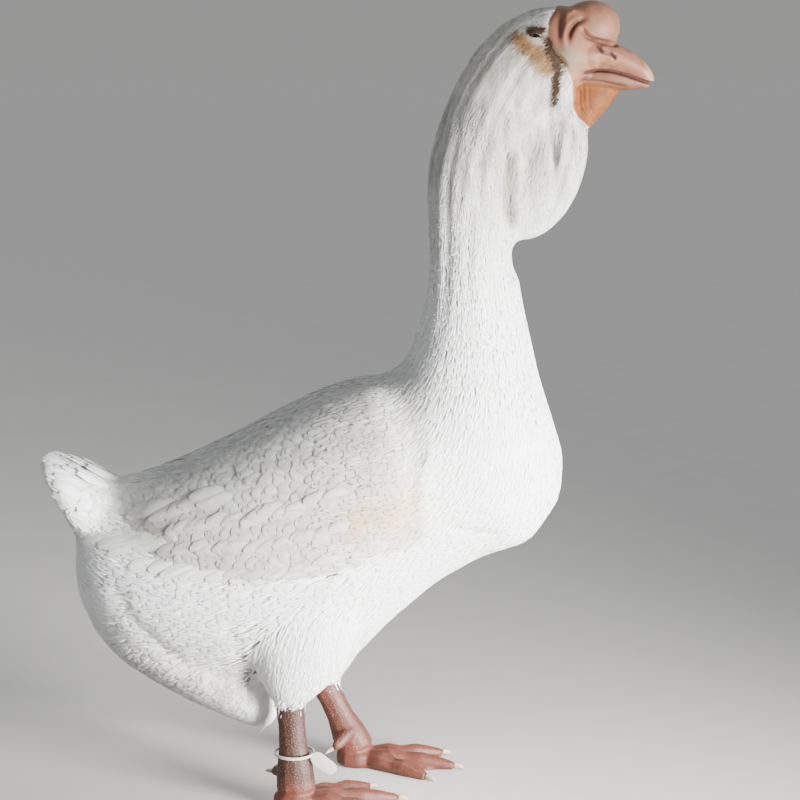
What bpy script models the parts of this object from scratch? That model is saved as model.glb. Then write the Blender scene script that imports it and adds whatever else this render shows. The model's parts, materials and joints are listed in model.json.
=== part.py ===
"""A lion-headed domestic goose: a white gander standing still, life size. Metres, +Z up.

The bird looks along +X and its left side is +Y. The origin lies on the floor, under the middle of its box.
The trunk, neck and head are one lofted form. Each of its stations is a section that runs from a point on
the back to a point on the belly or throat. Thin cuts part that form into named lengths. The knob, bill,
pouch, dewlap, paunch, thighs, wings and tail are lofts of their own, cut to it with GAP between.
"""

import math

import bmesh
import bpy
from mathutils import Matrix, Vector

# Driving dimensions
GAP = 0.00035  # clear space between neighbouring pieces
FORWARD = 0.0095  # brings the middle of the finished bird over the origin
ROUND = 20  # sides of a section of the body
SIDES = 14  # sides of a section of a smaller form
LEG_OUT = 0.070  # each leg's distance from the middle plane
ANKLE_Z = 0.014
RIGHT_LEG = (-0.070, 0.134, -0.062)  # hock x, height of the hock, x of the toe joint
LEFT_LEG = (-0.043, 0.106, 0.005)
TOE_IN = 12.0  # degrees that each foot turns towards the other
TOE = 0.115  # the middle toe without its claw
CLAW = 0.013
SHANK = 0.0150  # half the shank's width, seen from the side
EYE = 0.0095  # radius of the eyeball
BAND_Z = 0.066
BAND_R = 0.0218  # radius of the leg band, to the middle of its strap
TAG_LONG = 0.034
TAG_WIDE = 0.015
TAG_THICK = 0.0018
BAND_X = -0.0645
TAG_AT = (-0.031, 0.008, 0.056)  # x, distance outwards from the leg's middle, z
TAG_LEAN = 38  # degrees that the tag hangs forward and down

# Egg shapes of the head: centre, then radii along x, y and z. The y of a centre is outwards on each side.
KNOB = ((0.2635, 0.0, 0.8735), (0.0335, 0.0310, 0.0285))
CHEEK_FOLD = ((0.2385, 0.0265, 0.8740), (0.0068, 0.0105, 0.0255))
CHEEK_FOLD_LEAN = 11
CHEEK_LOBE = ((0.2590, 0.0215, 0.8420), (0.0185, 0.0115, 0.0140))
CHEEK_LOBE_LEAN = 8
EYEBALL = ((0.2003, 0.0308, 0.8615), (EYE, EYE, EYE))

WHITE = (0.86, 0.86, 0.83)
SOILED = (0.74, 0.72, 0.66)
PEACH = (0.78, 0.50, 0.38)
ORANGE = (0.72, 0.42, 0.22)
RED_SKIN = (0.60, 0.29, 0.21)
HORN = (0.80, 0.66, 0.56)
BROWN = (0.10, 0.05, 0.03)
PLASTIC = (0.85, 0.84, 0.80)

# Each station: back or upper point (x, z), belly or lower point (x, z), half width.
BODY = [
    ((-0.312, 0.312), (-0.316, 0.262), 0.024),
    ((-0.300, 0.362), (-0.311, 0.222), 0.052),
    ((-0.270, 0.364), (-0.286, 0.186), 0.076),
    ((-0.240, 0.366), (-0.245, 0.158), 0.092),
    ((-0.195, 0.382), (-0.190, 0.138), 0.106),
    ((-0.140, 0.407), (-0.130, 0.126), 0.115),
    ((-0.090, 0.434), (-0.070, 0.126), 0.120),
    ((-0.040, 0.460), (-0.005, 0.150), 0.121),
    ((0.000, 0.475), (0.045, 0.204), 0.120),
    ((0.030, 0.486), (0.098, 0.250), 0.118),
    ((0.047, 0.493), (0.150, 0.280), 0.116),
    ((0.056, 0.500), (0.204, 0.296), 0.112),
    ((0.062, 0.510), (0.238, 0.346), 0.104),
    ((0.068, 0.524), (0.241, 0.396), 0.092),
    ((0.074, 0.541), (0.227, 0.440), 0.079),
    ((0.080, 0.564), (0.212, 0.487), 0.066),
    ((0.085, 0.592), (0.200, 0.540), 0.056),
    ((0.087, 0.622), (0.190, 0.586), 0.050),
    ((0.085, 0.656), (0.184, 0.632), 0.048),
    ((0.083, 0.692), (0.184, 0.674), 0.049),
    ((0.087, 0.730), (0.191, 0.716), 0.050),
    ((0.097, 0.768), (0.206, 0.750), 0.051),
    ((0.114, 0.808), (0.226, 0.778), 0.051),
    ((0.138, 0.848), (0.246, 0.798), 0.049),
    ((0.168, 0.878), (0.262, 0.812), 0.045),
    ((0.200, 0.893), (0.272, 0.826), 0.040),
    ((0.230, 0.897), (0.274, 0.846), 0.031),
    ((0.250, 0.889), (0.268, 0.864), 0.016),
]

# Where thin cuts part that form: the length behind the cut, and the cut's upper and lower end (x, z)
CUTS = [
    ("rump", (-0.212, 0.500), (-0.215, 0.000)),
    ("trunk", (0.022, 0.530), (0.120, 0.100)),
    ("breast", (-0.040, 0.560), (0.400, 0.385)),
    ("neck_lower", (0.000, 0.660), (0.320, 0.640)),
    ("neck_upper", (0.000, 0.850), (0.330, 0.735)),
]

# The folded wing lies on that form. Each station: place along BODY, upper and lower edge in degrees from
# the back line, and how far it stands proud
WING = [
    (9.60, 53.0, 63.0, 0.0050),
    (9.50, 37.0, 82.0, 0.0090),
    (9.30, 25.0, 96.0, 0.0130),
    (8.90, 17.0, 105.0, 0.017),
    (8.00, 11.0, 104.0, 0.020),
    (7.00, 8.0, 97.0, 0.021),
    (6.00, 7.0, 90.0, 0.020),
    (5.00, 6.0, 83.0, 0.018),
    (4.00, 5.5, 73.0, 0.015),
    (3.30, 5.0, 60.0, 0.012),
    (2.70, 5.0, 42.0, 0.009),
    (2.20, 5.0, 27.0, 0.006),
    (1.90, 7.0, 17.0, 0.003),
]

PAUNCH = [
    ((-0.288, 0.236), (-0.310, 0.218), 0.018),
    ((-0.262, 0.240), (-0.297, 0.190), 0.048),
    ((-0.232, 0.236), (-0.267, 0.157), 0.068),
    ((-0.198, 0.226), (-0.223, 0.129), 0.079),
    ((-0.162, 0.212), (-0.178, 0.104), 0.080),
    ((-0.130, 0.192), (-0.134, 0.084), 0.073),
    ((-0.106, 0.170), (-0.105, 0.071), 0.060),
    ((-0.093, 0.150), (-0.089, 0.076), 0.042),
    ((-0.087, 0.132), (-0.084, 0.098), 0.016),
]

TAIL = [
    ((-0.232, 0.358), (-0.262, 0.270), 0.046),
    ((-0.262, 0.366), (-0.296, 0.284), 0.058),
    ((-0.292, 0.378), (-0.318, 0.312), 0.067),
    ((-0.318, 0.388), (-0.333, 0.344), 0.068),
    ((-0.338, 0.3945), (-0.344, 0.370), 0.052),
    ((-0.352, 0.398), (-0.3515, 0.391), 0.024),
]

# A thigh's level sections: rear x, front x, height, half width. The foot end slides forward with the leg.
THIGH = [
    (-0.112, 0.006, 0.272, 0.026),
    (-0.120, 0.016, 0.240, 0.038),
    (-0.118, 0.012, 0.210, 0.042),
    (-0.112, 0.002, 0.182, 0.040),
    (-0.104, -0.014, 0.158, 0.034),
    (-0.096, -0.032, 0.140, 0.027),
    (-0.089, -0.049, 0.126, 0.019),
]

BILL_UPPER = [
    ((0.240, 0.878), (0.246, 0.8245), 0.028),
    ((0.262, 0.872), (0.266, 0.8265), 0.0275),
    ((0.280, 0.861), (0.284, 0.8262), 0.0245),
    ((0.296, 0.8525), (0.300, 0.8225), 0.0215),
    ((0.309, 0.8465), (0.312, 0.8180), 0.0195),
    ((0.320, 0.8385), (0.322, 0.8140), 0.0175),
    ((0.329, 0.8280), (0.329, 0.8120), 0.0135),
    ((0.333, 0.8210), (0.333, 0.8135), 0.0060),
]

BILL_LOWER = [
    ((0.240, 0.824), (0.246, 0.8050), 0.022),
    ((0.266, 0.829), (0.270, 0.8055), 0.021),
    ((0.284, 0.829), (0.288, 0.8045), 0.020),
    ((0.300, 0.825), (0.302, 0.8045), 0.0180),
    ((0.312, 0.820), (0.313, 0.8055), 0.0160),
    ((0.322, 0.815), (0.322, 0.8065), 0.0130),
    ((0.328, 0.8115), (0.328, 0.8080), 0.0060),
]

GULAR_POUCH = [
    ((0.230, 0.816), (0.297, 0.8070), 0.015),
    ((0.235, 0.803), (0.293, 0.7970), 0.0165),
    ((0.238, 0.791), (0.283, 0.7845), 0.0155),
    ((0.242, 0.778), (0.272, 0.7720), 0.0125),
    ((0.245, 0.767), (0.264, 0.7630), 0.008),
]

DEWLAP = [
    ((0.212, 0.793), (0.252, 0.788), 0.012),
    ((0.208, 0.777), (0.261, 0.769), 0.022),
    ((0.192, 0.752), (0.2640, 0.742), 0.027),
    ((0.178, 0.726), (0.2600, 0.715), 0.029),
    ((0.168, 0.702), (0.2520, 0.690), 0.028),
    ((0.163, 0.682), (0.2390, 0.668), 0.026),
    ((0.163, 0.664), (0.2220, 0.651), 0.022),
    ((0.166, 0.651), (0.2060, 0.642), 0.016),
    ((0.171, 0.644), (0.1900, 0.639), 0.008),
]


def clear_scene():
    """Empties the scene."""
    for old in list(bpy.data.objects):
        bpy.data.objects.remove(old, do_unlink=True)


def look(name, colour, roughness=0.7):
    """The Principled material of that name, made once."""
    made = bpy.data.materials.get(name)
    if made is None:
        made = bpy.data.materials.new(name)
        made.use_nodes = True
        shader = made.node_tree.nodes["Principled BSDF"]
        shader.inputs["Base Color"].default_value = (*colour, 1.0)
        shader.inputs["Roughness"].default_value = roughness
        shader.inputs["Metallic"].default_value = 0.0
    return made


def link(name, mesh, material=None):
    """An object in the scene for a mesh."""
    made = bpy.data.objects.new(name, mesh)
    bpy.context.scene.collection.objects.link(made)
    if material is not None:
        mesh.materials.clear()
        mesh.materials.append(material)
    mesh.shade_smooth()
    return made


def mesh_from(bm, name):
    """The mesh, as triangles, so that a body and the cutter grown from it bend along the same edges."""
    bmesh.ops.triangulate(bm, faces=bm.faces[:])
    bmesh.ops.recalc_face_normals(bm, faces=bm.faces[:])
    mesh = bpy.data.meshes.new(name)
    bm.to_mesh(mesh)
    bm.free()
    return mesh


# ---- bodies over rings of points ----------------------------------------------------------------------


def skin_over(name, rings, material):
    """A closed body over rings of points, each end closed by a fan about the middle of its ring."""
    bm = bmesh.new()
    loops = [[bm.verts.new(point) for point in ring] for ring in rings]
    for low, high in zip(loops, loops[1:]):
        for k in range(len(low)):
            after = (k + 1) % len(low)
            bm.faces.new((low[k], low[after], high[after], high[k]))
    for loop in (loops[0], loops[-1]):
        middle = bm.verts.new(sum((v.co for v in loop), Vector()) / len(loop))
        for k in range(len(loop)):
            bm.faces.new((middle, loop[k], loop[(k + 1) % len(loop)]))
    return link(name, mesh_from(bm, name), material)


def section_point(upper, lower, half, angle):
    """A point of an oval section, at angle 0 on its upper point and pi on its lower one."""
    across = Vector((0, half * math.sin(angle), 0))
    return (upper + lower) / 2 - (lower - upper) / 2 * math.cos(angle) + across


def loft(name, stations, material, sides=ROUND, middle_y=0.0):
    """A body through stations of upper point, lower point and half width, all about one upright plane."""
    rings = []
    for (ux, uz), (lx, lz), half in stations:
        upper = Vector((ux, middle_y, uz))
        lower = Vector((lx, middle_y, lz))
        rings.append([section_point(upper, lower, half, 2 * math.pi * k / sides) for k in range(sides)])
    return skin_over(name, rings, material)


def tube(name, path, material, sides=8):
    """A body along points of (place, radius up, radius across)."""
    rings = []
    for k, (place, up_radius, side_radius) in enumerate(path):
        along = (path[min(k + 1, len(path) - 1)][0] - path[max(k - 1, 0)][0]).normalized()
        level = abs(along.z) < 0.7
        across = along.cross(Vector((0, 0, 1)) if level else Vector((1, 0, 0))).normalized()
        up = across.cross(along)
        ring = []
        for i in range(sides):
            angle = 2 * math.pi * i / sides
            aside = across * (side_radius * math.sin(angle))
            ring.append(place + up * (up_radius * math.cos(angle)) + aside)
        rings.append(ring)
    return skin_over(name, rings, material)


def egg(name, centre, radii, material, lean=0.0, sides=10):
    """A closed egg of three radii, leaned about Y by so many degrees."""
    bm = bmesh.new()
    bmesh.ops.create_uvsphere(bm, u_segments=sides, v_segments=sides // 2, radius=1.0)
    place = Matrix.Translation(centre) @ Matrix.Rotation(math.radians(lean), 4, "Y")
    bmesh.ops.transform(bm, verts=bm.verts[:], matrix=place @ Matrix.Diagonal((*radii, 1)))
    return link(name, mesh_from(bm, name), material)


def on_side(shape, side):
    """The centre of an egg shape on the left, side +1, or the right, side -1."""
    x, y, z = shape[0]
    return Vector((x, side * y, z))


# ---- cutting ------------------------------------------------------------------------------------------


def helper(thing):
    """Makes an object a guide or cutter that isn't part of the bird."""
    thing.hide_render = True
    thing.display_type = "WIRE"
    return thing


def grown(source, by=GAP):
    """A cutter: the source's own mesh, larger by that much all over."""
    mesh = source.data.copy()
    normals = [vertex.normal.copy() for vertex in mesh.vertices]
    for vertex, normal in zip(mesh.vertices, normals):
        vertex.co += normal * by
    return helper(link(source.name + ".grown", mesh))


def combine(target, operation, *others):
    """Adds one exact Boolean step to the target for each of the others."""
    for other in others:
        step = target.modifiers.new(operation.lower() + "_" + other.name, "BOOLEAN")
        step.operation = operation
        step.solver = "EXACT"
        step.object = other
    return target


def block(name, corners, half=0.4):
    """A cutter: an outline of (x, z) corners drawn right across the bird."""
    bm = bmesh.new()
    left = [bm.verts.new((x, half, z)) for x, z in corners]
    right = [bm.verts.new((x, -half, z)) for x, z in corners]
    bm.faces.new(left)
    bm.faces.new(right[::-1])
    for k in range(len(corners)):
        after = (k + 1) % len(corners)
        bm.faces.new((left[k], left[after], right[after], right[k]))
    return helper(link(name, mesh_from(bm, name)))


def moved_on(line, by):
    """The two ends of a cut, moved towards the head at right angles to it."""
    (ax, az), (bx, bz) = line
    long = math.hypot(bx - ax, bz - az)
    step_x, step_z = (az - bz) / long * by, (bx - ax) / long * by
    return [(ax + step_x, az + step_z), (bx + step_x, bz + step_z)]


# ---- the trunk, neck and head -------------------------------------------------------------------------


def body_point(u, degrees, side):
    """A point on the body form: place u along BODY, degrees from the back line, side +1 left, -1 right."""
    k = min(int(u), len(BODY) - 2)
    share = u - k
    (ua, la, ha), (ub, lb, hb) = BODY[k], BODY[k + 1]
    upper = Vector((ua[0], 0, ua[1])).lerp(Vector((ub[0], 0, ub[1])), share)
    lower = Vector((la[0], 0, la[1])).lerp(Vector((lb[0], 0, lb[1])), share)
    return section_point(upper, lower, ha + (hb - ha) * share, side * math.radians(degrees))


def body_normal(u, degrees, side):
    """The outward direction of the body form at that point."""
    along = body_point(u + 0.3, degrees, side) - body_point(u - 0.3, degrees, side)
    around = body_point(u, degrees + 2, side) - body_point(u, degrees - 2, side)
    return along.cross(around).normalized() * side


def make_body(white):
    """The uncut form, kept as a helper, and the named lengths that thin cuts make of it."""
    form = helper(loft("body_form", BODY, white))
    lines = [cut[1:] for cut in CUTS]
    names = [cut[0] for cut in CUTS] + ["head"]
    pieces = {}
    for k, name in enumerate(names):
        corners = [(-0.80, 1.40), (-0.80, -0.40)] if k == 0 else moved_on(lines[k - 1], GAP / 2)
        if k < len(lines):
            corners = corners + moved_on(lines[k], -GAP / 2)[::-1]
        else:
            corners = corners + [(0.90, 0.62), (0.90, 1.40), (-0.20, 1.40)]
        piece = link(name, form.data.copy(), white)
        pieces[name] = combine(piece, "INTERSECT", block(name + ".zone", corners))
    return form, pieces


def make_wing(name, side, material):
    """A folded wing along the flank: thick in the middle of its width, thin at its rim."""
    rings = []
    sides = 16
    inner_share = 0.45
    for u, top, low, proud in WING:
        ring = []
        for k in range(sides):
            turn = 2 * math.pi * k / sides
            degrees = (top + low) / 2 - (low - top) / 2 * math.cos(turn)
            rise = proud * math.sin(turn) * (1 if math.sin(turn) > 0 else inner_share)
            ring.append(body_point(u, degrees, side) + body_normal(u, degrees, side) * rise)
        rings.append(ring)
    return skin_over(name, rings, material)


def make_thigh(name, side, leg, white):
    """The feathered thigh, whose lower end goes forward and down with its leg."""
    slide = leg[0] - RIGHT_LEG[0]
    drop = RIGHT_LEG[1] - leg[1]
    stations = []
    top_z, low_z = THIGH[0][2], THIGH[-1][2]
    for rear, front, z, half in THIGH:
        share = (top_z - z) / (top_z - low_z)
        height = z - drop * share
        stations.append(((rear + slide * share, height), (front + slide * share, height), half))
    return loft(name, stations, white, SIDES, side * (LEG_OUT + 0.008))


# ---- legs and feet ------------------------------------------------------------------------------------


def make_shank(name, side, hock_x, hock_z, ankle_x, skin):
    """The bare shank, from just inside the thigh's feathers to the toe joint, where it flares."""
    hock = Vector((hock_x, side * LEG_OUT, hock_z + 0.012))
    ankle = Vector((ankle_x, side * LEG_OUT, ANKLE_Z))
    shares = [(0.0, 0.75), (0.06, 1.15), (0.16, 1.12), (0.35, 1.0)]
    shares += [(0.55, 1.06), (0.75, 1.38), (0.92, 1.48), (1.0, 1.05)]
    path = [(hock.lerp(ankle, t), SHANK * wide, SHANK * wide * 0.82) for t, wide in shares]
    return tube(name, path, skin, sides=12)


def add_hind_toe(name, side, joint_x, shank, skin, horn):
    """The small raised hind toe, joined to the shank, pointing back and inwards."""
    joint = Vector((joint_x, side * LEG_OUT, 0))
    yaw = math.pi + side * math.radians(48)
    heading = Vector((math.cos(yaw), math.sin(yaw), 0))
    path = []
    for t, thick in ((0.0, 0.0050), (0.2, 0.0082), (0.5, 0.0078), (0.85, 0.0062), (1.0, 0.0036)):
        at = joint + heading * (0.008 + 0.034 * t)
        at.z = 0.048 - 0.017 * t
        path.append((at, thick, thick))
    combine(shank, "UNION", helper(tube(shank.name + ".hind", path, skin)))
    make_claw(f"{name}_claw_hind", path[-1][0] + heading * 0.0015, heading, 0.0048, horn)


def toe_path(joint, yaw, length, start):
    """A toe with three soft knuckles, from the joint to a blunt end, low enough to be cut by the floor."""
    heading = Vector((math.cos(yaw), math.sin(yaw), 0))
    path = []
    count = 6
    for k in range(count + 1):
        t = k / count
        thick = (0.0135 - 0.0055 * t) * (1 + 0.08 * math.cos(6 * math.pi * t))
        if k in (0, count):
            thick *= 0.6
        at = joint + heading * (start + (length - start) * t)
        at.z = thick * 0.80
        path.append((at, thick, thick * 0.92))
    return path


def make_web(name, joint, toes, skin):
    """The skin between the toes, drawn in between their tips, as radial sections about the joint."""
    shares = [0.08, 0.40, 0.75, 0.96]
    reach_of_web = 0.94
    draw_in = 0.20
    steps = 4
    rings = []
    for (yaw_a, long_a), (yaw_b, long_b) in zip(toes, toes[1:]):
        for k in range(steps + 1):
            t = k / steps
            yaw = yaw_a * 1.01 + (yaw_b - yaw_a) * 1.01 * t
            reach = (long_a + (long_b - long_a) * t) * reach_of_web * (1 - draw_in * math.sin(math.pi * t))
            heading = Vector((math.cos(yaw), math.sin(yaw), 0))
            top = [joint + heading * (reach * s) for s in shares]
            ring = [Vector((p.x, p.y, 0.0075 - 0.0050 * s)) for p, s in zip(top, shares)]
            tip = joint + heading * reach
            ring.append(Vector((tip.x, tip.y, 0.0008)))
            ring += [Vector((p.x, p.y, -0.0010)) for p in reversed(top)]
            if not (k == 0 and rings):
                rings.append(ring)
    return helper(skin_over(name, rings, skin))


def make_claw(name, tip, heading, thick, horn):
    """A blunt claw, face to face with the toe's end, that dips towards the floor and stays clear of it."""
    path = []
    count = 3
    for k in range(count + 1):
        t = k / count
        radius = thick * (0.66 - 0.40 * t * t) * (0.5 if k == count else 1.0)
        at = tip + heading * (2 * GAP + CLAW * t)
        at.z = max(tip.z - thick * 0.6 * t * t, radius + 0.0012)
        path.append((at, radius, radius * 0.9))
    return tube(name, path, horn, sides=6)


def make_foot(name, side, joint_x, shank, skin, horn):
    """Three front toes with the web between them, flat underneath at floor level."""
    joint = Vector((joint_x, side * LEG_OUT, 0))
    spread = [(27.0, 0.90), (3.0, 1.00), (-22.0, 0.84)]
    toes = [(side * math.radians(yaw - TOE_IN), TOE * share) for yaw, share in spread]
    labels = [("outer", 0.004), ("middle", 0.0), ("inner", 0.007)]
    bodies = []
    for (label, start), (yaw, length) in zip(labels, toes):
        path = toe_path(joint, yaw, length, start)
        bodies.append(tube(f"{name}.{label}", path, skin))
        heading = Vector((math.cos(yaw), math.sin(yaw), 0))
        make_claw(f"{name}_claw_{label}", path[-1][0], heading, path[-1][1] * 1.3, horn)
    bodies.append(egg(name + ".pad", joint + Vector((-0.001, 0, 0.010)), (0.0275, 0.0225, 0.0165), skin))
    foot = bodies.pop(1)
    foot.name = name
    web = make_web(name + ".web", joint, toes, skin)
    floor = block(name + ".floor", [(-0.5, 0.0), (0.5, 0.0), (0.5, -0.2), (-0.5, -0.2)])
    combine(foot, "UNION", *[helper(body) for body in bodies], web)
    combine(foot, "DIFFERENCE", floor, grown(shank))
    return foot


# ---- leg band and tag ---------------------------------------------------------------------------------


def make_band(name, centre, material):
    """A flat strap closed to a ring, tilted a little where it hangs on the flare of the shank."""
    strap = [(0.0014, -0.0016), (0.0014, 0.0016), (-0.0004, 0.0016), (-0.0004, -0.0016)]
    turns = 20
    bm = bmesh.new()
    loops = []
    for k in range(turns):
        angle = 2 * math.pi * k / turns
        out = Vector((math.cos(angle), math.sin(angle), 0))
        loops.append([bm.verts.new(centre + out * (BAND_R + r) + Vector((0, 0, z))) for r, z in strap])
    for k in range(turns):
        low, high = loops[k], loops[(k + 1) % turns]
        for i in range(len(strap)):
            after = (i + 1) % len(strap)
            bm.faces.new((low[i], low[after], high[after], high[i]))
    return link(name, mesh_from(bm, name), material)


def make_tag(name, centre, material):
    """A flat tag with round ends that hangs forward and down from the band."""
    turn = Matrix.Translation(centre) @ Matrix.Rotation(math.radians(TAG_LEAN), 4, "Y")
    outline = []
    arc = 5
    for end in (1, -1):
        for k in range(arc + 1):
            angle = math.pi * (k / arc - 0.5)
            reach = TAG_LONG / 2 - TAG_WIDE / 2
            x = end * (reach + TAG_WIDE / 2 * math.cos(angle))
            outline.append((x, end * TAG_WIDE / 2 * math.sin(angle)))
    bm = bmesh.new()
    near = [bm.verts.new(turn @ Vector((x, -TAG_THICK / 2, z))) for x, z in outline]
    far = [bm.verts.new(turn @ Vector((x, TAG_THICK / 2, z))) for x, z in outline]
    bm.faces.new(near)
    bm.faces.new(far[::-1])
    for k in range(len(outline)):
        after = (k + 1) % len(outline)
        bm.faces.new((near[k], near[after], far[after], far[k]))
    return link(name, mesh_from(bm, name), material)


# ---- the whole bird -----------------------------------------------------------------------------------


def main():
    clear_scene()
    white = look("white_feathers", WHITE, 0.8)
    soiled = look("soiled_feathers", SOILED, 0.8)
    peach = look("bare_face", PEACH, 0.55)
    orange = look("gular_skin", ORANGE, 0.6)
    red = look("leg_skin", RED_SKIN, 0.6)
    horn = look("horn", HORN, 0.4)
    brown = look("eye", BROWN, 0.1)
    plastic = look("band_plastic", PLASTIC, 0.4)

    form, body = make_body(white)
    form_cut = grown(form)

    wings, thighs = [], []
    for label, side, leg in (("R", -1, RIGHT_LEG), ("L", 1, LEFT_LEG)):
        wing = make_wing("wing_" + label, side, soiled)
        wings.append(grown(wing, 2 * GAP))
        shank = make_shank("shank_" + label, side, *leg, red)
        thigh = make_thigh("thigh_" + label, side, leg, white)
        thighs.append(grown(thigh))
        combine(thigh, "DIFFERENCE", form_cut, grown(shank))
        make_foot("foot_" + label, side, leg[2], shank, red, horn)
        add_hind_toe("foot_" + label, side, leg[2], shank, red, horn)
    for name in ("rump", "trunk", "breast"):
        combine(body[name], "DIFFERENCE", *wings)

    paunch = loft("paunch", PAUNCH, white, SIDES)
    combine(paunch, "DIFFERENCE", form_cut, *thighs)
    tail = loft("tail", TAIL, white, SIDES)
    combine(tail, "DIFFERENCE", form_cut, *wings)

    knob = egg("knob", Vector(KNOB[0]), KNOB[1], peach, sides=16)
    knob_cut = grown(knob)
    combine(knob, "DIFFERENCE", form_cut)
    folds, lobes = [], []
    for label, side in (("R", -1), ("L", 1)):
        fold = egg("cheek_fold_" + label, on_side(CHEEK_FOLD, side), CHEEK_FOLD[1], peach, CHEEK_FOLD_LEAN)
        folds.append(grown(fold))
        combine(fold, "DIFFERENCE", form_cut, knob_cut)
        lobe = egg("cheek_lobe_" + label, on_side(CHEEK_LOBE, side), CHEEK_LOBE[1], peach, CHEEK_LOBE_LEAN)
        combine(lobe, "DIFFERENCE", form_cut, knob_cut, folds[-1])
        lobes.append(grown(lobe))
        eye = egg("eye_" + label, on_side(EYEBALL, side), EYEBALL[1], brown)
        combine(body["head"], "DIFFERENCE", grown(eye))
    upper = loft("bill_upper", BILL_UPPER, peach, SIDES)
    upper_cut = grown(upper)
    combine(upper, "DIFFERENCE", form_cut, knob_cut, *folds, *lobes)
    lower = loft("bill_lower", BILL_LOWER, peach, SIDES)
    lower_cut = grown(lower)
    combine(lower, "DIFFERENCE", form_cut, upper_cut, *lobes)
    pouch = loft("gular_pouch", GULAR_POUCH, orange, SIDES)
    pouch_cut = grown(pouch)
    combine(pouch, "DIFFERENCE", form_cut, lower_cut, upper_cut)
    dewlap = loft("dewlap", DEWLAP, white, SIDES)
    combine(dewlap, "DIFFERENCE", form_cut, pouch_cut, lower_cut)

    band = make_band("leg_band", Vector((BAND_X, -LEG_OUT, BAND_Z)), plastic)
    tag_x, tag_out, tag_z = TAG_AT
    tag = make_tag("leg_tag", Vector((tag_x, -LEG_OUT - tag_out, tag_z)), plastic)
    combine(tag, "DIFFERENCE", grown(band))

    for thing in bpy.context.scene.collection.objects:
        thing.location.x += FORWARD


main()
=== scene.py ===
# %% [markdown]
# # A lion-head goose, standing
# The solids of this goose are packed already: they fix its size, its pose and its outline. This lesson gives it
# its looks: one skin over all the flesh, a coat of real feather meshes, a wrinkled bare face, scaly legs, wet eyes.
# Everything is in metres, x towards the bill, y towards the goose's left, z up, and the floor is at z = 0.

import json
import math

import bmesh
import bpy
import numpy as np
from mathutils import Matrix, Vector, noise
from mathutils.bvhtree import BVHTree
from mathutils.kdtree import KDTree

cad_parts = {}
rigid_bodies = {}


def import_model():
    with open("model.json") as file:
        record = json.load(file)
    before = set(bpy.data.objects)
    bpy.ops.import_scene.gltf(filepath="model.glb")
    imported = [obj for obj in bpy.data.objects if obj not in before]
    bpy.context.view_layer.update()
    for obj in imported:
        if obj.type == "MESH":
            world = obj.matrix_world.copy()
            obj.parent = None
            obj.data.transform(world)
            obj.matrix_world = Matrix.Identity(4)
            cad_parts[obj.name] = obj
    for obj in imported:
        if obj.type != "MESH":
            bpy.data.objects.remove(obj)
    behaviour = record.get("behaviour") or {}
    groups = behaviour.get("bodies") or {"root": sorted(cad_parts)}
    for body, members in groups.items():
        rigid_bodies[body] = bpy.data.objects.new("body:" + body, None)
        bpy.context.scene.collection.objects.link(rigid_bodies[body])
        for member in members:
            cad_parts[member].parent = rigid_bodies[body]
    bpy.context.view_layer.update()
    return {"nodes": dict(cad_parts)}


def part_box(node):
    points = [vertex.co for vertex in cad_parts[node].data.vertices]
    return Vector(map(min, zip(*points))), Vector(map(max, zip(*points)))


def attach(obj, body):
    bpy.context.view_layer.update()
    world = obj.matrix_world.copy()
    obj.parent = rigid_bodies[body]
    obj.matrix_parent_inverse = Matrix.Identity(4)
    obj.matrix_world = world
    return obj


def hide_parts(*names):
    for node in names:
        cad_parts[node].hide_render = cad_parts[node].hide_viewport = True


for thing in list(bpy.data.objects):
    bpy.data.objects.remove(thing)
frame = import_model()


# %% [markdown]
# ## Writing a material as sums
# A material is a graph of nodes, which is slow to read when each node is made and joined by hand. A small class
# that wraps one socket lets the graph be written as arithmetic: every + or * adds a Math node. Anything that isn't
# plain arithmetic comes from one method, `put`, which makes a node, sets it up and joins its inputs.

# %% A value on its way through a node tree
class Value:
    tree = None

    def __init__(self, socket):
        self.socket = socket

    @classmethod
    def put(cls, kind, settings=None, out=0, **inputs):
        """Adds a node. Settings come first, then the values or links of its inputs.

        An input is named with _ for a space, or by i and its number."""
        made = cls.tree.nodes.new(kind)
        for name, value in (settings or {}).items():
            setattr(made, name, value)
        for name, value in inputs.items():
            key = int(name[1:]) if name[1:].isdigit() else name.replace("_", " ")
            socket = made.inputs[key]
            if isinstance(value, Value):
                cls.tree.links.new(value.socket, socket)
            else:
                socket.default_value = value
        return cls(made.outputs[out]) if made.outputs else None

    def sum_of(self, operation, other, swapped=False):
        first, second = (other, self) if swapped else (self, other)
        return Value.put("ShaderNodeMath", {"operation": operation}, i0=first, i1=second)

    def __add__(self, other):
        return self.sum_of("ADD", other)

    def __sub__(self, other):
        return self.sum_of("SUBTRACT", other)

    def __mul__(self, other):
        return self.sum_of("MULTIPLY", other)

    def __radd__(self, other):
        return self.sum_of("ADD", other, True)

    def __rsub__(self, other):
        return self.sum_of("SUBTRACT", other, True)

    def __rmul__(self, other):
        return self.sum_of("MULTIPLY", other, True)

    def clamped(self):
        return Value.put("ShaderNodeClamp", Value=self)

    def between(self, low, high):
        """0 below low, 1 above high, smooth between them."""
        return Value.put(
            "ShaderNodeMapRange", {"interpolation_type": "SMOOTHSTEP"}, Value=self, From_Min=low, From_Max=high
        )


def mixed(factor, first, second):
    """A colour part of the way from the first to the second."""
    first, second = ((*c, 1.0) if isinstance(c, tuple) else c for c in (first, second))
    return Value.put("ShaderNodeMix", {"data_type": "RGBA"}, out=2, i0=factor, i6=first, i7=second)


# %% [markdown]
# ## Measures taken from the solids
# The face is laid out from the eye, the largest fixed mark on a bird's head. A point of the face is written as
# millimetres in front of the eye's centre and above it, as someone with a ruler would note it on a specimen.

# %% The eye, and points measured from it
MM = 0.001
LEFT, RIGHT = 1, -1


def middle(node):
    low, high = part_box(node)
    return (low + high) / 2


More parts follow.
